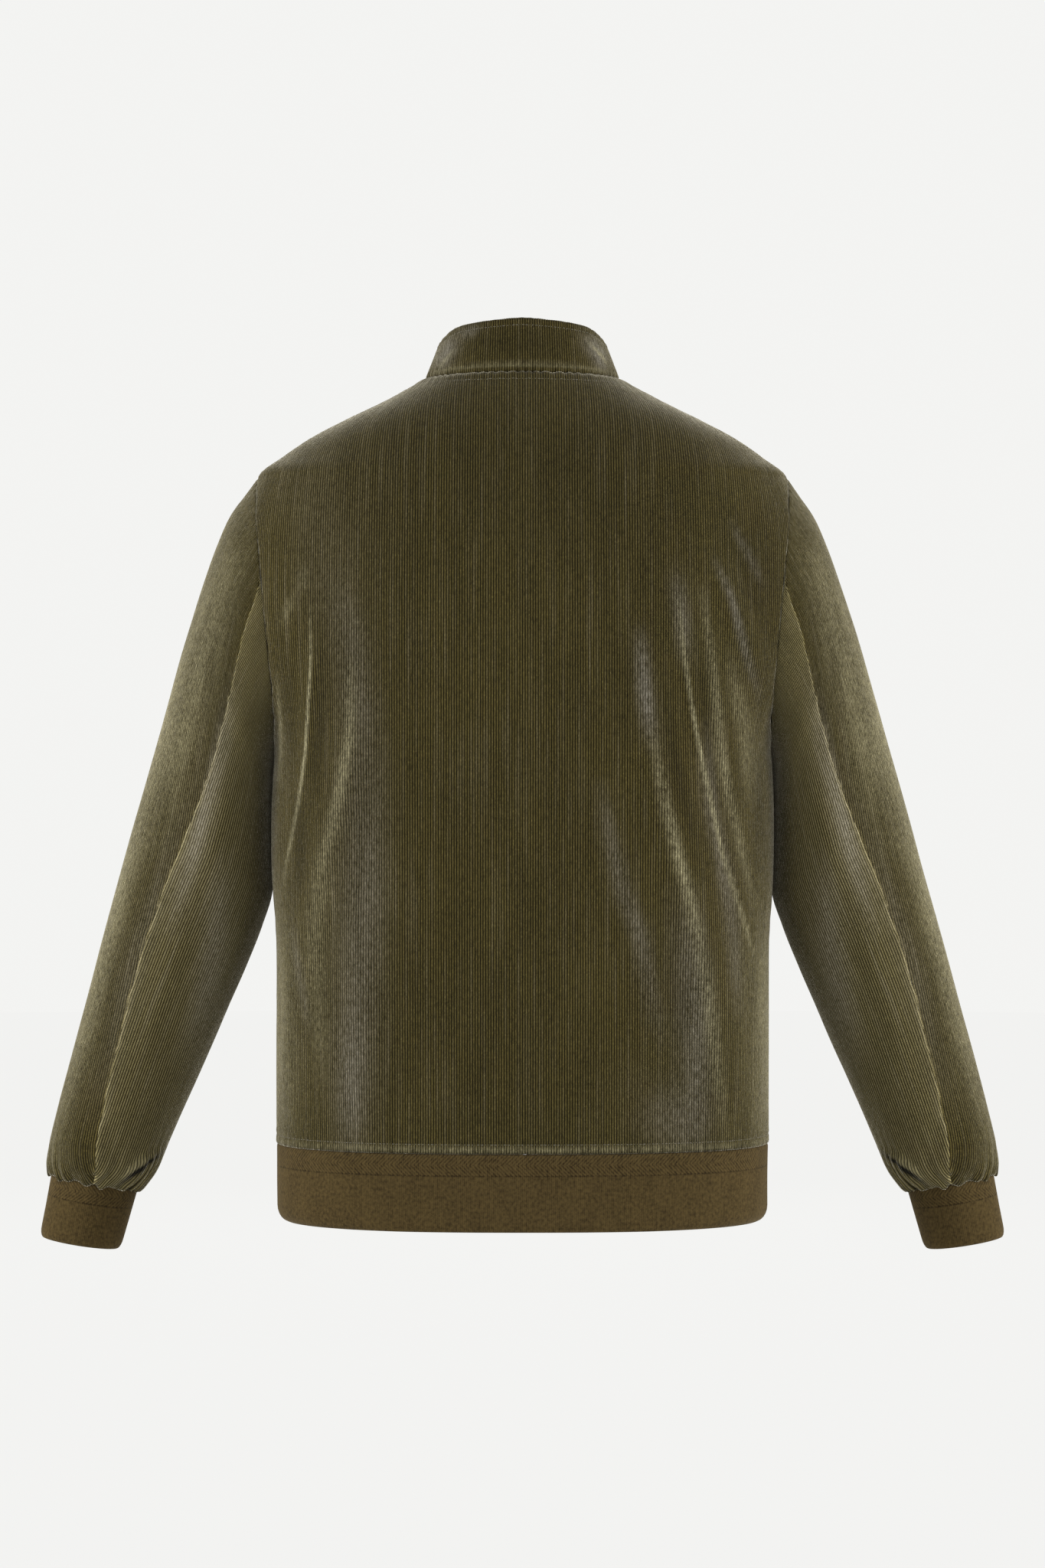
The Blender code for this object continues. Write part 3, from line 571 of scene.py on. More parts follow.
def bodyRow(z, side, ends):
    # A row of the body: its u, points and outward normals. ends picks u's range from the curve.
    curve = bodyCurve(z, side)
    u = ticks(*ends(z, curve))
    points = bodyPoints(u, curve)
    small = 0.0012
    above = bodyPoints(u, bodyCurve(min(z + small, 0.0), side))
    below = bodyPoints(u, bodyCurve(max(z - small, ribHemZ), side))
    return u, points, outward(points, above - below, [0, 0, z])


def bodyLevels():
    # Heights of the rows below the armhole and beside it.
    lower = stepped(hemZ, underarmZ, 0.0092,
                    (.0009, .0020, .0036, .0056, .0066, .0075, .0084, .0096, .0130), (.0045,))
    ends = (.0004, .0014, .0033, .0062, .0105)
    return lower, stepped(underarmZ, tipZ, 0.0080, ends, ends[::-1])


def buildBody():
    lower, armhole = bodyLevels()
    backTop = stepped(tipZ, 0.0, 0.0031, (.0012,), (.0068, .0042, .0036, .0030, .0018, .0011, .0005))
    levels = np.unique(np.round(np.concatenate([lower, armhole, backTop]), 6))
    backRows = [bodyRow(z, 1, lambda z, curve: (-curve[2], curve[2])) for z in levels]
    pieces["back"] = clothSheet({
        **cordCloth, "name": "backPanel", "node": "back", "rows": backRows, "sway": (3, .0011),
        "flat": (.570, .645), "area": .354, "held": "hung", "restsOn": "standCollar",
        "folds": backFolds, "crest": backCrestHighlights, "haze": backHazeHighlights, "shades": backShades,
        "puckers": (("high", .0085, .008, .0009), ("low", .011, .010, .0006), ("first", .0095, .007, .0006),
                    ("last", .0100, .007, .0006)),
        "rolls": (("high", .0042, .0012), ("low", .0030, .0010), ("first", .0030, .0004, .5),
                  ("last", .0030, .0004, .5)),
        "grooves": (("low", .0075), ("high", .0090)),
    })
    neckTurns = np.radians([86.03, 85, 83.5, 81, 78, 74, 69.5, *np.arange(65, 1, -3.1), 1.6, .7, 0])
    frontTop = np.concatenate([-neckDrop * np.sin(neckTurns), backTop[backTop < -neckDrop - .001]])
    levels = np.unique(np.round(np.concatenate([lower, armhole, frontTop]), 6))

    def frontEnds(z, curve):
        return float(np.interp(neckX(z), curve[1][:, 0], curve[0])), curve[2]

    frontRows = [row for row in (bodyRow(z, -1, frontEnds) for z in levels) if len(row[0]) > 3]
    for side, name in sides:
        pieces[name + "Front"] = clothSheet({
            **cordCloth, "name": name + "FrontPanel", "node": name + "_front",
            "rows": mirrored(frontRows, side),
            "flat": (.276, .708), "area": .165, "held": "hung", "restsOn": "standCollar",
            "folds": frontFolds, "crest": frontCrestHighlights, "haze": frontHazeHighlights, "sway": (5 + side, .0010),
            "puckers": (("low", .011, .010, .0004), ("first", .012, .006, .0003)),
            "rolls": (("low", .0030, .0010), ("first", .0030, .0008), ("last", .0030, .0004, .5)),
            "grooves": (("low", .0075), ("first", .0070)),
        })


# Sleeves

ringDegrees = 290  # each way round from the outer line, with two points to a degree


def sleeveCurve(t):
    # One ring of a left sleeve: angles, points and the distance round from the outer line.
    steps = np.arange(len(sleeveTable["outerX"]), dtype=float)
    s = {name: float(smooth(t, steps, column)) for name, column in sleeveTable.items()}
    turns = np.radians(np.linspace(-ringDegrees, ringDegrees, 4 * ringDegrees + 1))
    middle = np.array([s["outerX"] + s["innerX"], 0, s["outerZ"] + s["innerZ"]]) / 2
    reach = np.array([s["outerX"] - s["innerX"], 0, s["outerZ"] - s["innerZ"]]) / 2
    ring = middle + np.cos(turns)[:, None] * reach
    ring[:, 1] = s["halfDepth"] * np.sin(turns) - s["forward"]
    fade = max(0.0, 1 - t / 4) ** 1.2
    outerX, innerX = sleeveTable["outerX"][0], sleeveTable["innerX"][0]
    straight = innerX + (outerX - innerX) * (1 + np.cos(turns)) / 2
    edgeZ = tipZ + (underarmZ - tipZ) * (1 - np.cos(turns)) / 2
    ring[:, 0] += fade * (smooth(edgeZ, sideLine["z"], sideLine["x"]) - straight)
    along = arcOf(ring)
    return turns, ring, along - along[2 * ringDegrees], s


def sleeveRow(t, part):
    # A row of a left sleeve's upper or under piece.
    last = len(sleeveTable["outerX"]) - 1

    def at(where):
        turns, ring, along, s = sleeveCurve(where)
        back, front = math.radians(s["backSeam"]), math.radians(s["frontSeam"])
        if part == "upper":
            first, end, zero = front - 2 * math.pi, back, 0.0
        else:
            first, end, zero = back, front, (back + front) / 2
        offset = np.interp(zero, turns, along)
        low, high = np.interp([first, end], turns, along) - offset
        return ring, along - offset, low, high

    ring, along, low, high = at(t)
    u = ticks(low, high)
    points = lineAt(u, along, ring)
    after, afterAlong = at(min(t + .04, last))[:2]
    before, beforeAlong = at(max(t - .04, 0))[:2]
    down = lineAt(u, afterAlong, after) - lineAt(u, beforeAlong, before)
    return u, points, outward(points, down, ring.mean(axis=0))


def behind(points):
    # How far a point of a sleeve lies behind it, from 0 to 1.
    return 1 / (1 + np.exp(-(points[:, 1] + .02) / .006))


def buildSleeves():
    sleeveCuts = {
        "upper": {"flat": (.400, .610), "area": .134, "finish": corduroy},
        # The under piece takes a copy of the corduroy painted lighter, where the body keeps light off it.
        "under": {"flat": (.226, .607), "area": .063, "finish": corduroyPaintedLighter},
    }
    dense = np.linspace(0, len(sleeveTable["outerX"]) - 1, 600)
    steps = np.arange(len(sleeveTable["outerX"]), dtype=float)
    outerLine = np.column_stack([smooth(dense, steps, sleeveTable["outerX"]),
                                 smooth(dense, steps, sleeveTable["outerZ"])])
    outerAlong = arcOf(outerLine)
    cuffRows = tuple(np.round(np.concatenate([[.0005, .0011], np.arange(.0018, .0310, .0011)]), 4))
    wanted = stepped(0, outerAlong[-1], 0.0076, (.0009, .0020, .0036, .0060), cuffRows)
    levels = np.interp(wanted, outerAlong, dense)
    for part in ("upper", "under"):
        made = [sleeveRow(t, part) for t in levels]
        for side, name in sides:

            def gathers(points, normals, edges, side=side):
                # The end of the sleeve hangs over its cuff in uneven scallops.
                turn = np.arctan2(points[:, 1] + .02, (points[:, 0] * side - .357) * 1.15)
                lobes = .5 + .5 * np.sin(11 * turn + 1.6 * np.sin(3 * turn + .7))
                near = np.exp(-((edges["high"] / .0065) ** 2))
                overhang = cuffDown * [side, 1, 1] * .0026
                return near[:, None] * (overhang * (.25 + lobes)[:, None] + normals * .0013)

            seam = "last" if part == "upper" else "first"
            other = "first" if part == "upper" else "last"
            pieces[name + part] = clothSheet({
                **cordCloth, **sleeveCuts[part], "name": name + part.capitalize() + "SleevePanel",
                "node": f"{name}_{part}_sleeve", "rows": mirrored(made, side), "climb": wanted, "side": side,
                "held": "hung", "restsOn": "backPanel", "where": behind, "shape": gathers,
                "folds": sleeveBackFolds, "otherFolds": sleeveFrontFolds, "crest": sleeveCrestHighlights,
                "haze": sleeveHazeHighlights, "shades": sleeveShades, "sway": (11 + side * 2 + len(part), .0010),
                "puckers": ((seam, .0080, .0055, .0017), (other, .0105, .006, .0006),
                            ("high", .0120, .016, .0020), ("low", .0110, .008, .0005)),
                # The shade below 0 on the seam edge paints a highlight along the seam.
                "rolls": ((seam, .0022, .0002, -2.4), (other, .0026, .0008), ("low", .0030, .0004, .5),
                          ("high", .0030, .0009)),
            })


# Collar

def collarFoot():
    # The collar seam from the centre back round to the zip: angle and point.
    backTurns = np.radians(np.linspace(0, 90, 181))
    back = np.column_stack([neckHalfWidth * np.sin(backTurns), backNeckDepth * np.cos(backTurns),
                            0 * backTurns])
    last = math.degrees(math.acos(zipChannel / neckHalfWidth))
    frontTurns = np.radians(np.linspace(0.5, last, 172))
    x, z = neckHalfWidth * np.cos(frontTurns), -neckDrop * np.sin(frontTurns)
    power = smooth(z, depthLine["z"], depthLine["power"])
    deep = smooth(z, depthLine["z"], depthLine["front"])
    wide = smooth(z, sideLine["z"], sideLine["x"])
    y = -deep * np.clip(1 - (x / wide) ** power, 0, 1) ** (1 / power)
    front = np.column_stack([x, y, z])
    return np.degrees(np.concatenate([backTurns, frontTurns + math.pi / 2])), np.concatenate([back, front])


def softened(values, spread):
    # Values along a line, averaged with their neighbours.
    kernel = np.exp(-(np.arange(-3 * spread, 3 * spread + 1) / spread) ** 2 / 2)
    kernel /= kernel.sum()
    padded = np.pad(values, [(3 * spread, 3 * spread)] + [(0, 0)] * (values.ndim - 1), mode="edge")
    if values.ndim == 1:
        return np.convolve(padded, kernel, "valid")
    return np.column_stack([np.convolve(padded[:, i], kernel, "valid") for i in range(values.shape[1])])


def buildCollar():
    roundAt, foot = collarFoot()
    full = np.concatenate([foot[:0:-1] * [-1, 1, 1], foot])
    roundAt = np.concatenate([roundAt[:0:-1], roundAt])
    along = arcOf(full)
    along -= along[len(foot) - 1]
    tangent = softened(np.gradient(full[:, :2], axis=0), 6)
    away = np.column_stack([-tangent[:, 1], tangent[:, 0], 0 * tangent[:, 0]])
    away = unit(away * np.sign((away * full).sum()))
    height = softened(smooth(roundAt, collarTable["round"], collarTable["height"]), 8)
    lean = softened(smooth(roundAt, collarTable["round"], collarTable["lean"]), 8)
    u = ticks(along[0], along[-1])
    up = np.array([0, 0, 1.0])

    def rowAt(share):
        tuck = .0024 * min(1, max(0, -share) / .03)
        inward = (lean * max(share, 0) ** 1.2 + tuck)[:, None]
        return lineAt(u, along, full + up * (share * height)[:, None] - away * inward)

    rows = []
    shares = [-.075, -.03, 0, .02, .05, .09, .15, .23, .31, .39, .47, .55, .63, .70, .77, .82,
              .845, .8625, .88, .905, .94, .97, .988, 1]
    for share in shares:
        points = rowAt(share)
        low, high = (max(share - .02, 0), min(share + .02, 1)) if share > 0 else (0, .03)
        rows.append((u, points, outward(points, rowAt(high) - rowAt(low), [0, 0, points[:, 2].mean()])))
    pieces["collar"] = clothSheet({
        **cordCloth, "name": "standCollar", "node": "collar", "rows": rows,
        "reverse": corduroy, "wall": .0026,
        "flat": (.550, .044), "area": .0220, "held": "hung", "restsOn": "backPanel",
        "climb": (np.array(shares) + .075) * .040, "sway": (23, .0007), "coarse": 3,
        "puckers": (("low", .0085, .008, .0013), ("high", .0120, .006, .0004)),
        "where": lambda points: (points[:, 1] > 0) * 1.0,
        "haze": collarHazeHighlights, "crest": collarCrestHighlights, "shades": collarShades,
        "rolls": (("low", .0062, .0010), ("high", .0016, .0009), ("first", .0016, .0008),
                  ("last", .0016, .0008)),
        "innerRolls": (("high", .0016, .0008),),
        "grooves": (("high", .0055), ("first", .0055), ("last", .0055)),
    })


# Rib knit

ribDrops = [0, .0009, .0022, .0044, .0087, .0130, .0174, .0230, .0290, .0350]


def turnedIn(fromEdge, reach):
    # How far a rib's folded edge turns in, from 0 to nearly 1.
    end = np.clip(1 - fromEdge / reach, 0, 1)
    return 1 - np.sqrt(np.clip(1 - end * end * .98, 0, 1))


def buildHemRib():
    # The rib round the hem in one strip, open at the zip.
    rows = []
    drops = np.array([*ribDrops, .0410, .0465, .0510, .0545, .0575, .0600, .0617, .0627])
    for drop in drops:
        z = hemZ - .0003 - drop
        back, front = bodyCurve(z, 1), bodyCurve(z, -1)
        start = float(np.interp(zipChannel, front[1][:, 0], front[0]))
        line = np.concatenate([back[1], front[1][::-1][1:]])
        reach = back[2] + front[2] - start
        u = ticks(-reach, reach, ribPitch / 2)
        points = lineAt(np.abs(u), arcOf(line), line)
        points[:, 0] *= np.where(u < 0, -1, 1)
        normals = outward(points, [0, 0, 1.0], [0, 0, z])
        rows.append((u, points - normals * .0006, normals))

    def shape(points, normals, edges):
        flank = np.clip((np.abs(points[:, 0]) - .10) / .1, 0, 1)
        return -normals * ((.0016 + .0060 * flank) * turnedIn(edges["high"], .012))[:, None]

    pieces["hemRib"] = clothSheet({
        **knitCloth, "name": "hemRibKnit", "node": "hem_rib", "rows": rows, "climb": drops, "coarse": 6,
        "flat": (1.000, .063), "held": "stretched", "restsOn": "backPanel",
        "sway": (31, .0008), "shape": shape,
        "rolls": (("low", .0024, .0012), ("first", .0016, .0006), ("last", .0016, .0006)),
        "innerRolls": (("high", .0020, .0010),),
        "puckers": (("low", .012, .012, .0003),),
    })


def buildCuffs():
    # A closed tube of rib round each wrist.
    drops = np.array([*ribDrops, .0400, .0440, .0475, .0500, .0520, .0530, .0535])
    half = 360
    ring = sleeveCurve(len(sleeveTable["outerX"]) - 1)[1]
    ring = ring[2 * ringDegrees - half:2 * ringDegrees + half + 1]
    middle = (ring.max(axis=0) + ring.min(axis=0)) / 2
    rows = []
    for drop in drops:
        scale = 1 - .07 * drop / drops[-1]
        line = middle + (ring - middle) * scale + cuffDown * (.0004 + drop)
        along = arcOf(line)
        along -= along[half]
        u = ticks(along[0], along[-1], ribPitch / 2)
        points = lineAt(u, along, line)
        normals = outward(points, cuffDown, line.mean(axis=0))
        normals[0] = normals[-1] = unit(normals[0] + normals[-1])
        rows.append((u, points, normals))

    def shape(points, normals, edges):
        return -normals * (.0030 * turnedIn(edges["high"], .008))[:, None]

    for side, name in sides:
        pieces[name + "Cuff"] = clothSheet({
            **knitCloth, "name": name + "CuffKnit", "node": name + "_cuff", "rows": mirrored(rows, side),
            "flat": (.200, .0535), "held": "stretched", "restsOn": name + "UpperSleevePanel",
            "climb": drops, "sway": (41 + side, .0004), "shape": shape, "ring": True, "coarse": 4,
            "rolls": (("low", .0024, .0012),), "innerRolls": (("high", .0020, .0010),),
        })


# Stitches and zip

def rowLine(piece, edge, distance):
    # Points and normals on a piece's face along a row, at a distance from its low or high edge.
    climb = piece["climb"]
    target = climb[0] + distance if edge == "low" else climb[-1] - distance
    i = int(np.argmin(np.abs(climb - target)))
    keep = slice(piece["starts"][i], piece["starts"][i + 1])
    return piece["outer"][keep], piece["skinNormals"][keep]


def columnLine(piece, edge, distance):
    # Points and normals up a piece at a distance from its first or last edge.
    points, normals = [], []
    for start, end in zip(piece["starts"][:-1], piece["starts"][1:]):
        keep = slice(start, end)
        u = piece["us"][keep]
        at = u[0] + distance if edge == "first" else u[-1] - distance
        points.append(lineAt([at], u, piece["outer"][keep])[0])
        normals.append(lineAt([at], u, piece["skinNormals"][keep])[0])
    return np.array(points), np.array(normals)


def primitiveShape():
    # Points and faces of the active primitive, which is then removed.
    made = bpy.context.object
    depsgraph = bpy.context.evaluated_depsgraph_get()
    mesh = made.evaluated_get(depsgraph).to_mesh()
    mesh.calc_loop_triangles()
    points = np.array([v.co for v in mesh.vertices])
    faces = np.array([t.vertices for t in mesh.loop_triangles])
    bpy.data.objects.remove(made)
    return points, faces


def repeated(name, shape, frames, finish):
    # Copies of one shape at many places, as one object. Each frame is (origin, 3 axes).
    points, faces = shape
    places = np.array([frame[0] for frame in frames])
    axes = np.array([frame[1] for frame in frames])
    copies = np.einsum("pk,nkj->npj", points, axes) + places[:, None]
    ids = faces[None] + (np.arange(len(frames)) * len(points))[:, None, None]
    mesh = bpy.data.meshes.new(name)
    mesh.from_pydata(copies.reshape(-1, 3).tolist(), [], ids.reshape(-1, 3).tolist())
    mesh.shade_smooth()
    mesh.materials.append(finish)
    made = bpy.data.objects.new(name, mesh)
    bpy.context.scene.collection.objects.link(made)
    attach(made, "jacket")
    print(name, len(ids) * len(faces), "triangles")
    return made


stitch = {"pitch": .0030, "length": .0023, "radius": .00032, "sink": .0001}


def stitchFrames(line, normals):
    pitch, length, radius, sink = stitch.values()
    along = arcOf(line)
    at = np.arange(pitch, along[-1] - pitch / 2, pitch)
    middle = lineAt(at, along, line)
    run = unit(lineAt(at + length / 2, along, line) - lineAt(at - length / 2, along, line))
    up = unit(lineAt(at, along, normals))
    side = unit(np.cross(up, run))
    up = unit(np.cross(run, side))
    frames = []
    for m, r, s, n in zip(middle, run, side, up):
        frames.append((m - n * sink, np.array([r * length / 2, s * radius, n * radius])))
    return frames


def buildStitches():
    # Small beads of thread along every groove.
    bpy.ops.mesh.primitive_uv_sphere_add(segments=6, ring_count=4, radius=1, rotation=(0, math.pi / 2, 0))
    bpy.ops.object.transform_apply(location=False, rotation=True, scale=False)
    bead = primitiveShape()
    frames = []
    for name, piece in pieces.items():
        for edge, distance in piece.get("grooves", ()):
            upright = edge in ("first", "last")
            line, normals = (columnLine if upright else rowLine)(piece, edge, distance)
            keep = np.full(len(line), True)
            if name == "back" and edge == "high":  # the neck only
                keep = np.abs(line[:, 0]) < neckHalfWidth + .004
            elif upright and name != "collar":  # below the collar seam only
                keep = line[:, 2] < neckZ(zipChannel) - .004
            trim = slice(6, -1) if upright else slice(None)
            frames += stitchFrames(line[keep][trim], normals[keep][trim])
    repeated("topStitches", bead, frames, thread)


def frontY(x, z):
    # Y of the front's outer face, up to the collar's top.
    onBody = min(z, neckZ(x))
    power = smooth(onBody, depthLine["z"], depthLine["power"])
    deep = smooth(onBody, depthLine["z"], depthLine["front"])
    wide = smooth(onBody, sideLine["z"], sideLine["x"])
    lean = collarTable["lean"][-1] * (z - onBody) / collarTable["height"][-1]
    return -deep * (1 - (x / wide) ** power) ** (1 / power) + lean


def buildZip():
    # Two rows of teeth, half a pitch apart; the other zip parts keep their own solids.
    chain = {"pitch": .0025, "low": -.6866, "high": -.0442, "depth": .0038, "off": .0014,
             "tooth": (.0040, .0024, .00135)}
    bpy.ops.mesh.primitive_cube_add(size=1)
    tooth = bpy.context.object
    tooth.scale = chain["tooth"]
    bpy.ops.object.transform_apply(location=False, rotation=False, scale=True)
    rounding = tooth.modifiers.new("Rounding", "BEVEL")
    rounding.width = .00035
    rounding.segments = 1
    shape = primitiveShape()
    frames = []
    for side, _ in sides:
        for i in range(int((chain["high"] - chain["low"]) / chain["pitch"])):
            z = chain["low"] + (i + (0.5 if side < 0 else 0)) * chain["pitch"]
            frames.append((np.array([side * chain["off"], frontY(0, z) + chain["depth"], z]), np.eye(3)))
    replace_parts(repeated("zipTeeth", shape, frames, brass), "zip_chain")
    for name, finish, slot in (("zip_slider", brass, "zip_metal"), ("pull_tab", brass, "zip_metal"),
                               ("zip_box", brass, "zip_metal"), ("left_zip_tape", tape, "zip_tape"),
                               ("right_zip_tape", tape, "zip_tape")):
        node = frame["nodes"][name]
        node.data.materials.clear()
        node.data.materials.append(finish)


# Finishes

def feed(socket, value):
    # An even value set on a node's socket, or another node's output linked to it.
    if hasattr(value, "is_linked"):
        socket.id_data.links.new(value, socket)
    else:
        socket.default_value = value


def nodeKit(name):
    # A new material, its shader and two makers of nodes.
    made = bpy.data.materials.new(name)
    made.use_nodes = True
    shader = made.node_tree.nodes["Principled BSDF"]

    def node(kind, **inputs):
        found = made.node_tree.nodes.new(kind)
        for key, value in inputs.items():
            feed(found.inputs[int(key[1:]) if key[1:].isdigit() else key], value)
        return found

    def maths(operation, *values, clamp=False):
        found = node("ShaderNodeMath", **{f"i{i}": value for i, value in enumerate(values)})
        found.operation = operation
        found.use_clamp = clamp
        return found.outputs[0]

    return made, shader, node, maths


def mixed(node, factor, one, two):
    found = node("ShaderNodeMix")
    found.data_type = "RGBA"
    for i, value in ((0, factor), (6, one), (7, two)):
        feed(found.inputs[i], value)
    return found.outputs[2]


def finished(kit, values, height=None, strength=0, distance=0):
    # The material, with its shader's inputs set or linked and any bump added.
    made, shader, node, _ = kit
    for name, value in values.items():
        feed(shader.inputs[name], value)
    if height:
        bump = node("ShaderNodeBump", Strength=strength, Distance=distance, Height=height)
        feed(shader.inputs["Normal"], bump.outputs[0])
    return made


def clothPlace(node):
    place = node("ShaderNodeUVMap")
    place.uv_map = "cloth"
    apart = node("ShaderNodeSeparateXYZ", i0=place.outputs[0])
    return apart.outputs[0], apart.outputs[1]


def noiseAt(node, maths, u, v, across, along, detail, shift=0.0):
    # Noise over the cloth with its own scale across and along the grain.
    spot = node("ShaderNodeCombineXYZ", i0=maths("MULTIPLY", u, across), i1=maths("MULTIPLY", v, along),
                i2=shift)
    found = node("ShaderNodeTexNoise", Vector=spot.outputs[0], Scale=1.0, Detail=detail, Roughness=0.55)
    return found.outputs[0]


def corduroyFinish(name, look):
    # Pile in wales: painted shade between them, lighter on top, with uneven patches in the nap, painted
    # glints along some wale tops, and painted highlights and shade from the cloth's marks.
    kit = nodeKit(name)
    node, maths = kit[2:]
    u, v = clothPlace(node)
    marks = {}
    for mark in ("seam", "crest", "haze"):
        found = node("ShaderNodeAttribute")
        found.attribute_name = mark
        marks[mark] = found.outputs[2]
    wave = maths("COSINE", maths("MULTIPLY", u, 2 * math.pi / walePitch))
    valleyShade = maths("POWER", maths("MULTIPLY_ADD", wave, 0.5, 0.5), look["valleyPower"])
    tone = look["level"]
    grains = {}
    for i, (grain, across, along) in enumerate((("broad", 11, 3), ("patch", 50, 12), ("fleck", 600, 170),
                                                ("pile", 1700, 560))):
        grains[grain] = noiseAt(node, maths, u, v, across, along, 2.0, 3.0 * i)
        over = maths("SUBTRACT", grains[grain], .5, clamp=grain == "pile")
        tone = maths("MULTIPLY_ADD", over, look[grain], tone)
    wale = maths("FLOOR", maths("DIVIDE", u, walePitch))
    streak = maths("SUBTRACT", noiseAt(node, maths, wale, v, .71, 8, 3.0, 20.0), .5, clamp=True)
    spark = maths("MULTIPLY", streak, maths("MULTIPLY_ADD", grains["pile"], 4.0, -1.0, clamp=True))
    tone = maths("MULTIPLY_ADD", streak, look["streak"], tone)
    # Painted shade: the seam mark darkens the tone, and lightens it where below 0.
    shaded = maths("MAXIMUM", maths("MULTIPLY_ADD", marks["seam"], -look["seam"], 1.0), .04)
    tone = maths("MULTIPLY", tone, shaded)
    # Painted shade in the wale valleys: the colour runs to the dark low colour there.
    base = mixed(node, maths("MULTIPLY", valleyShade, look["valleyShade"], clamp=True), look["ridge"], look["low"])
    # top keeps the painted highlights and glints off the valleys.
    top = maths("MULTIPLY_ADD", valleyShade, -look["hollow"], 1.0)
    uneven = maths("MULTIPLY_ADD", grains["patch"], 1.4, maths("MULTIPLY_ADD", grains["fleck"], 2.4, -.9))
    # Painted glints: pale grey flecks along the tops of some wales.
    sparkle = maths("MULTIPLY", maths("MULTIPLY", spark, look["spark"]), top, clamp=True)
    base = mixed(node, sparkle, base, look["greyHighlight"])
    # Painted highlights: the haze and crest marks turn the colour pale, grey and warm, off the valleys.
    for mark, colour in (("haze", look["greyHighlight"]), ("crest", look["warmHighlight"])):
        share = maths("MULTIPLY", maths("MULTIPLY", marks[mark], uneven), top, clamp=True)
        base = mixed(node, share, base, colour)
    scaled = node("ShaderNodeVectorMath", i0=base)
    scaled.operation = "SCALE"
    feed(scaled.inputs[3], tone)
    height = maths("MULTIPLY_ADD", grains["pile"], .8, maths("MULTIPLY", grains["fleck"], 1.4))
    return finished(kit, {
        "Base Color": scaled.outputs[0], "Roughness": .95, "Specular IOR Level": look["specular"],
        "Sheen Weight": look["sheen"], "Sheen Roughness": look["sheenRoughness"],
        "Sheen Tint": look["sheenTint"],
    }, height, .8, .0005)


def reverseFinish():
    # The plain back of the cloth: a fine twill.
    kit = nodeKit("Corduroy reverse")
    node, maths = kit[2:]
    u, v = clothPlace(node)
    slope = maths("ADD", u, maths("MULTIPLY", v, .8))
    twill = maths("MULTIPLY_ADD", maths("SINE", maths("MULTIPLY", slope, 2 * math.pi / .0011)), .5, .5)
    broad = noiseAt(node, maths, u, v, 30, 30, 3.0)
    base = mixed(node, maths("MULTIPLY_ADD", broad, .5, maths("MULTIPLY", twill, .5), clamp=True),
                 (.030, .023, .009, 1), (.062, .050, .024, 1))
    return finished(kit, {"Base Color": base, "Roughness": .95, "Sheen Weight": .2}, twill, .3, .0002)


def ribFinish():
    # Fine rib knit with two rows of chevrons along its top.
    kit = nodeKit("Rib knit")
    node, maths = kit[2:]
    u, v = clothPlace(node)
    # rib is 1 in the hollows between the ribs, and the colour below is darker there: painted shade.
    rib = maths("MULTIPLY_ADD", maths("COSINE", maths("MULTIPLY", u, 2 * math.pi / ribPitch)), .5, .5)
    fold = maths("ABSOLUTE", maths("SUBTRACT", v, chevronHeight))
    slant = maths("SINE", maths("MULTIPLY", maths("ADD", u, fold), 2 * math.pi / .0032))
    inBand = maths("LESS_THAN", v, 2 * chevronHeight)
    chevron = maths("MULTIPLY", maths("MULTIPLY_ADD", slant, .5, .5), inBand)
    loops = noiseAt(node, maths, u, v, 420, 330, 4.0)
    broad = noiseAt(node, maths, u, v, 60, 25, 3.0)
    edge = maths("COMPARE", v, 2 * chevronHeight, .0007)
    marked = maths("MULTIPLY_ADD", chevron, .50, maths("MULTIPLY", edge, .3))
    tone = maths("ADD", maths("MULTIPLY", rib, .30), marked)
    tone = maths("SUBTRACT", tone, maths("MULTIPLY", inBand, .22))
    tone = maths("ADD", tone, maths("MULTIPLY_ADD", loops, 2.0, maths("MULTIPLY", broad, .6)))
    base = mixed(node, maths("SUBTRACT", tone, 1.12, clamp=True),
                 (.048, .0325, .0110, 1), (.010, .0062, .0018, 1))
    height = maths("ADD", maths("MULTIPLY", chevron, -.8), maths("MULTIPLY", loops, .5))
    return finished(kit, {
        "Base Color": base, "Roughness": .95, "Specular IOR Level": .06, "Sheen Weight": .10,
        "Sheen Roughness": .5, "Sheen Tint": (.8, .66, .45, 1),
    }, height, .5, .0004)


def objectNoise(node, scale):
    place = node("ShaderNodeTexCoord")
    return node("ShaderNodeTexNoise", Vector=place.outputs["Object"], Scale=scale, Detail=3.0).outputs[0]


def tapeFinish():
    # A woven tape, in small herringbones.
    kit = nodeKit("Zip tape")
    node, maths = kit[2:]
    place = node("ShaderNodeTexCoord")
    apart = node("ShaderNodeSeparateXYZ", i0=place.outputs["Object"])
    fold = maths("PINGPONG", apart.outputs[0], .0016)
    weave = maths("SINE", maths("MULTIPLY", maths("ADD", apart.outputs[2], fold), 2 * math.pi / .0009))
    base = mixed(node, maths("MULTIPLY_ADD", weave, .5, .5), (.022, .017, .008, 1), (.050, .040, .020, 1))
    return finished(kit, {"Base Color": base, "Roughness": .85}, weave, .4, .0002)


def brassFinish():
    kit = nodeKit("Antique brass")
    node, maths = kit[2:]
    base = mixed(node, objectNoise(node, 600), (.110, .080, .038, 1), (.240, .180, .092, 1))
    rough = maths("MULTIPLY_ADD", objectNoise(node, 1400), .25, .25)
    return finished(kit, {"Base Color": base, "Metallic": 1.0, "Roughness": rough})


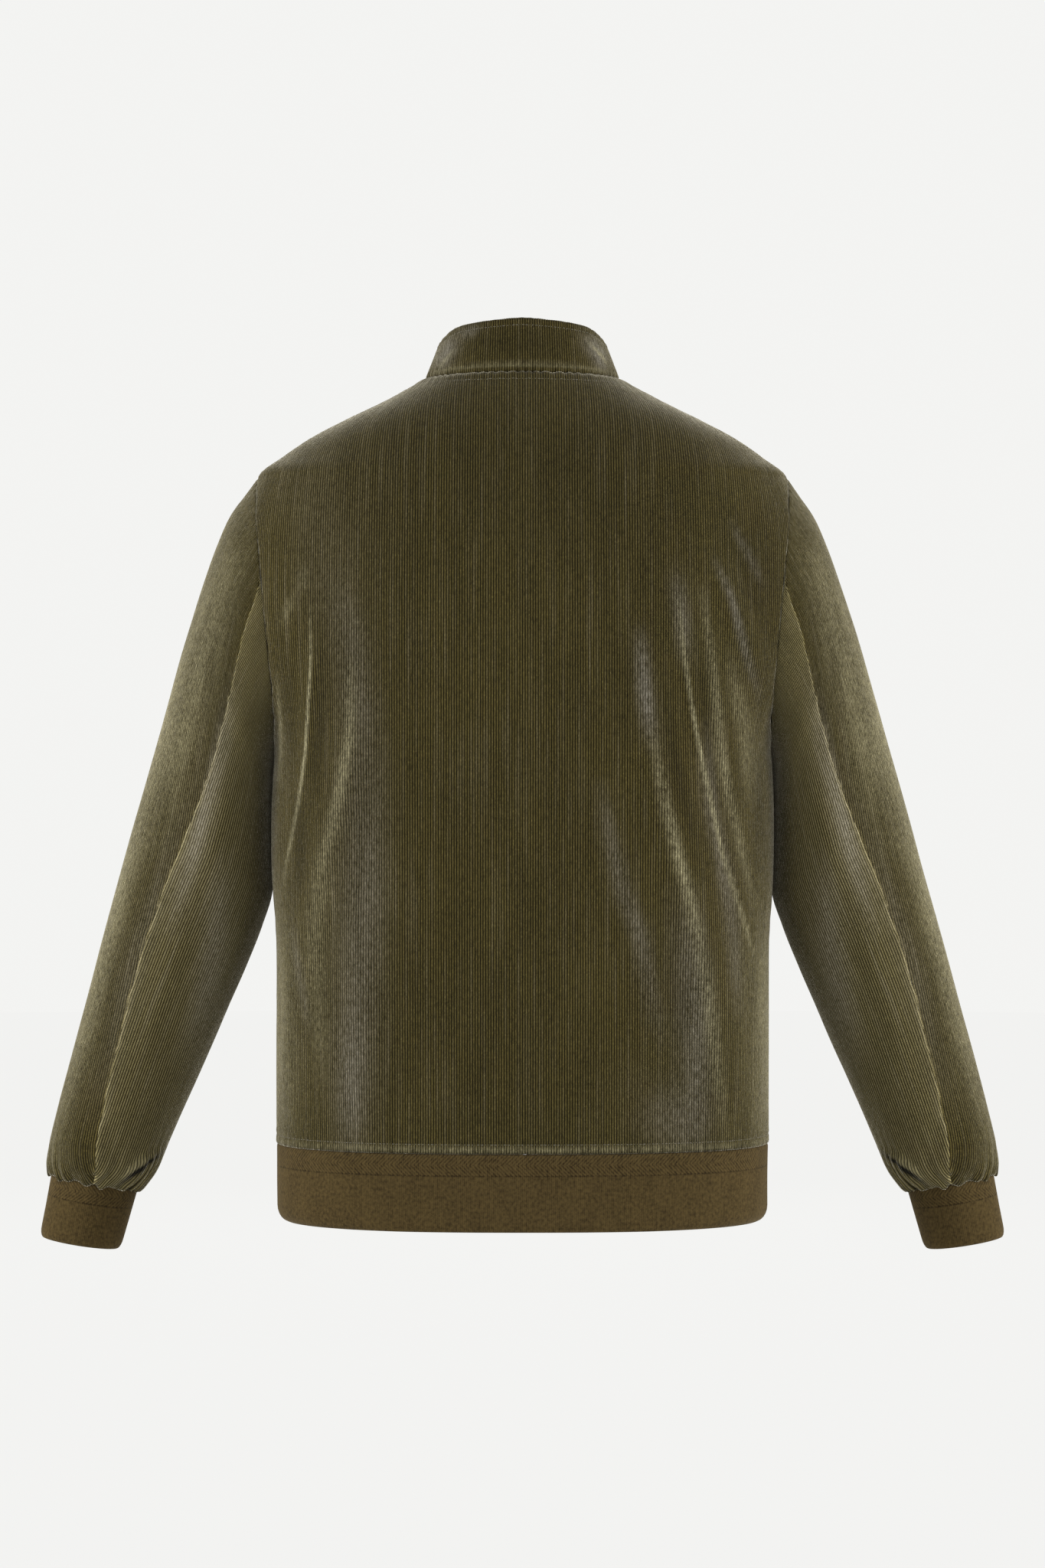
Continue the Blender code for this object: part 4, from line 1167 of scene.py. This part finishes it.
def threadFinish():
    kit = nodeKit("Sewing thread")
    node = kit[2]
    base = mixed(node, objectNoise(node, 900), (.042, .034, .015, 1), (.072, .061, .030, 1))
    return finished(kit, {"Base Color": base, "Roughness": .7, "Sheen Weight": .3})


def floorFinish(colour, glow):
    return finished(nodeKit("Pale floor"), {
        "Base Color": (*colour, 1), "Roughness": .9, "Specular IOR Level": 0.0,
        "Emission Color": (1.0, 1.0, .985, 1), "Emission Strength": glow,
    })


# Studio

def softBox(name, azimuth, distance, height, wide, tall, power):
    # A soft light turned round the jacket from behind it, in degrees, aimed at its middle.
    light = bpy.data.lights.new(name, "AREA")
    light.shape = "RECTANGLE"
    light.size, light.size_y = wide, tall
    light.energy = power
    made = bpy.data.objects.new(name, light)
    bpy.context.scene.collection.objects.link(made)
    a = math.radians(azimuth)
    made.location = (distance * math.sin(a), distance * math.cos(a), height)
    toward = np.array([0, 0, middleZ]) - np.array(made.location)
    flat = math.hypot(toward[0], toward[1])
    made.rotation_euler = (math.pi / 2 + math.atan2(toward[2], flat), 0, math.atan2(-toward[0], toward[1]))


def buildStudio(studio):
    world = bpy.data.worlds.new("Studio")
    bpy.context.scene.world = world
    world.use_nodes = True
    nodes, links = world.node_tree.nodes, world.node_tree.links
    sky = nodes["Background"]
    sky.inputs[0].default_value = studio["sky"]
    place = nodes.new("ShaderNodeTexCoord")
    apart = nodes.new("ShaderNodeSeparateXYZ")
    links.new(place.outputs["Generated"], apart.inputs[0])
    # Dimmer behind the camera, but not down at the horizon, where other views see it.
    above, behindIt = nodes.new("ShaderNodeMapRange"), nodes.new("ShaderNodeMapRange")
    for fade, source, values in ((above, 2, (.12, .30, 1.0, studio["behindCamera"])),
                                 (behindIt, 1, (-.15, .65, 1.0))):
        links.new(apart.outputs[source], fade.inputs[0])
        for socket, value in zip(fade.inputs[1:5], values):
            socket.default_value = value
    links.new(above.outputs[0], behindIt.inputs[4])
    links.new(behindIt.outputs[0], sky.inputs[1])
    bpy.ops.mesh.primitive_circle_add(vertices=96, radius=9, fill_type="NGON",
                                      location=(0, 0, studio["floorZ"]))
    floor = bpy.context.object
    floor.name = "studioFloor"
    floor.data.materials.append(floorFinish(studio["floor"], studio["floorGlow"]))
    for light in studio["lights"]:
        softBox(*light)
    camera = bpy.data.cameras.new("Camera")
    camera.lens = studio["lens"]
    camera.sensor_width = studio["sensor"]
    camera.clip_end = 60
    seen = bpy.data.objects.new("Camera", camera)
    seen.location = studio["cameraAt"]
    seen.rotation_euler = (math.pi / 2, 0, math.pi)
    bpy.context.scene.collection.objects.link(seen)
    bpy.context.scene.camera = seen
    bpy.context.scene.view_settings.view_transform = "Standard"


# The low colour is painted shade in the wale valleys, grey and warm colour the painted highlights, and the
# seam strength sets how far the painted seam shade darkens.
nap = {
    "ridge": (.0520, .0410, .0120, 1), "low": (.0040, .0030, .0005, 1), "valleyShade": .96, "valleyPower": 1.1,
    "broad": .4, "patch": .45, "fleck": 1.3, "pile": 3.6, "streak": .9, "spark": .75, "level": .76,
    "seam": .35, "hollow": .70, "greyHighlight": (.114, .104, .082, 1), "warmHighlight": (.168, .151, .088, 1),
    "specular": .06, "sheen": .80, "sheenRoughness": .32, "sheenTint": (.88, .82, .65, 1),
}
corduroy = corduroyFinish("Corduroy", nap)
# A copy of the corduroy painted lighter for the under sleeves, where the body keeps light off them.
corduroyPaintedLighter = corduroyFinish("Corduroy, painted lighter", {**nap, "ridge": (.0620, .0520, .0225, 1), "level": 1.50})
reverse = reverseFinish()
ribKnit = ribFinish()
tape = tapeFinish()
brass = brassFinish()
thread = threadFinish()
print("finishes made")

# What the pieces of each cloth share. relief is the pitch of its ridges and half their height.
cordCloth = {
    "slot": "corduroy", "finish": corduroy, "reverse": reverse, "wall": .002, "relief": (walePitch, .00030),
}
knitCloth = {
    "slot": "rib_knit", "finish": ribKnit, "reverse": ribKnit, "wall": .0026, "relief": (ribPitch, .00012),
}
pieces = {}
buildBody()
buildSleeves()
buildCollar()
buildHemRib()
buildCuffs()
buildStitches()
buildZip()

buildStudio({
    "lens": 94.07, "sensor": 36, "cameraAt": (0, 3.4, -.336),
    "sky": (.90, .90, .885, 1), "behindCamera": .61,
    "floorZ": -1.02, "floor": (.008, .008, .0079), "floorGlow": .881,
    "lights": [  # name, azimuth, distance, height, width, height of the box, power
        ("leftBox", 72, 2.4, -.1, 0.8, 2.2, 90),
        ("rightBox", -72, 2.4, -.1, 0.8, 2.2, 90),
        ("leftFill", 43, 2.8, -.3, 1.0, 1.6, 26),
        ("rightFill", -43, 2.8, -.3, 1.0, 1.6, 26),
        ("frontBox", 180, 3.2, .6, 1.8, 1.8, 90),
    ],
})
print("studio made")
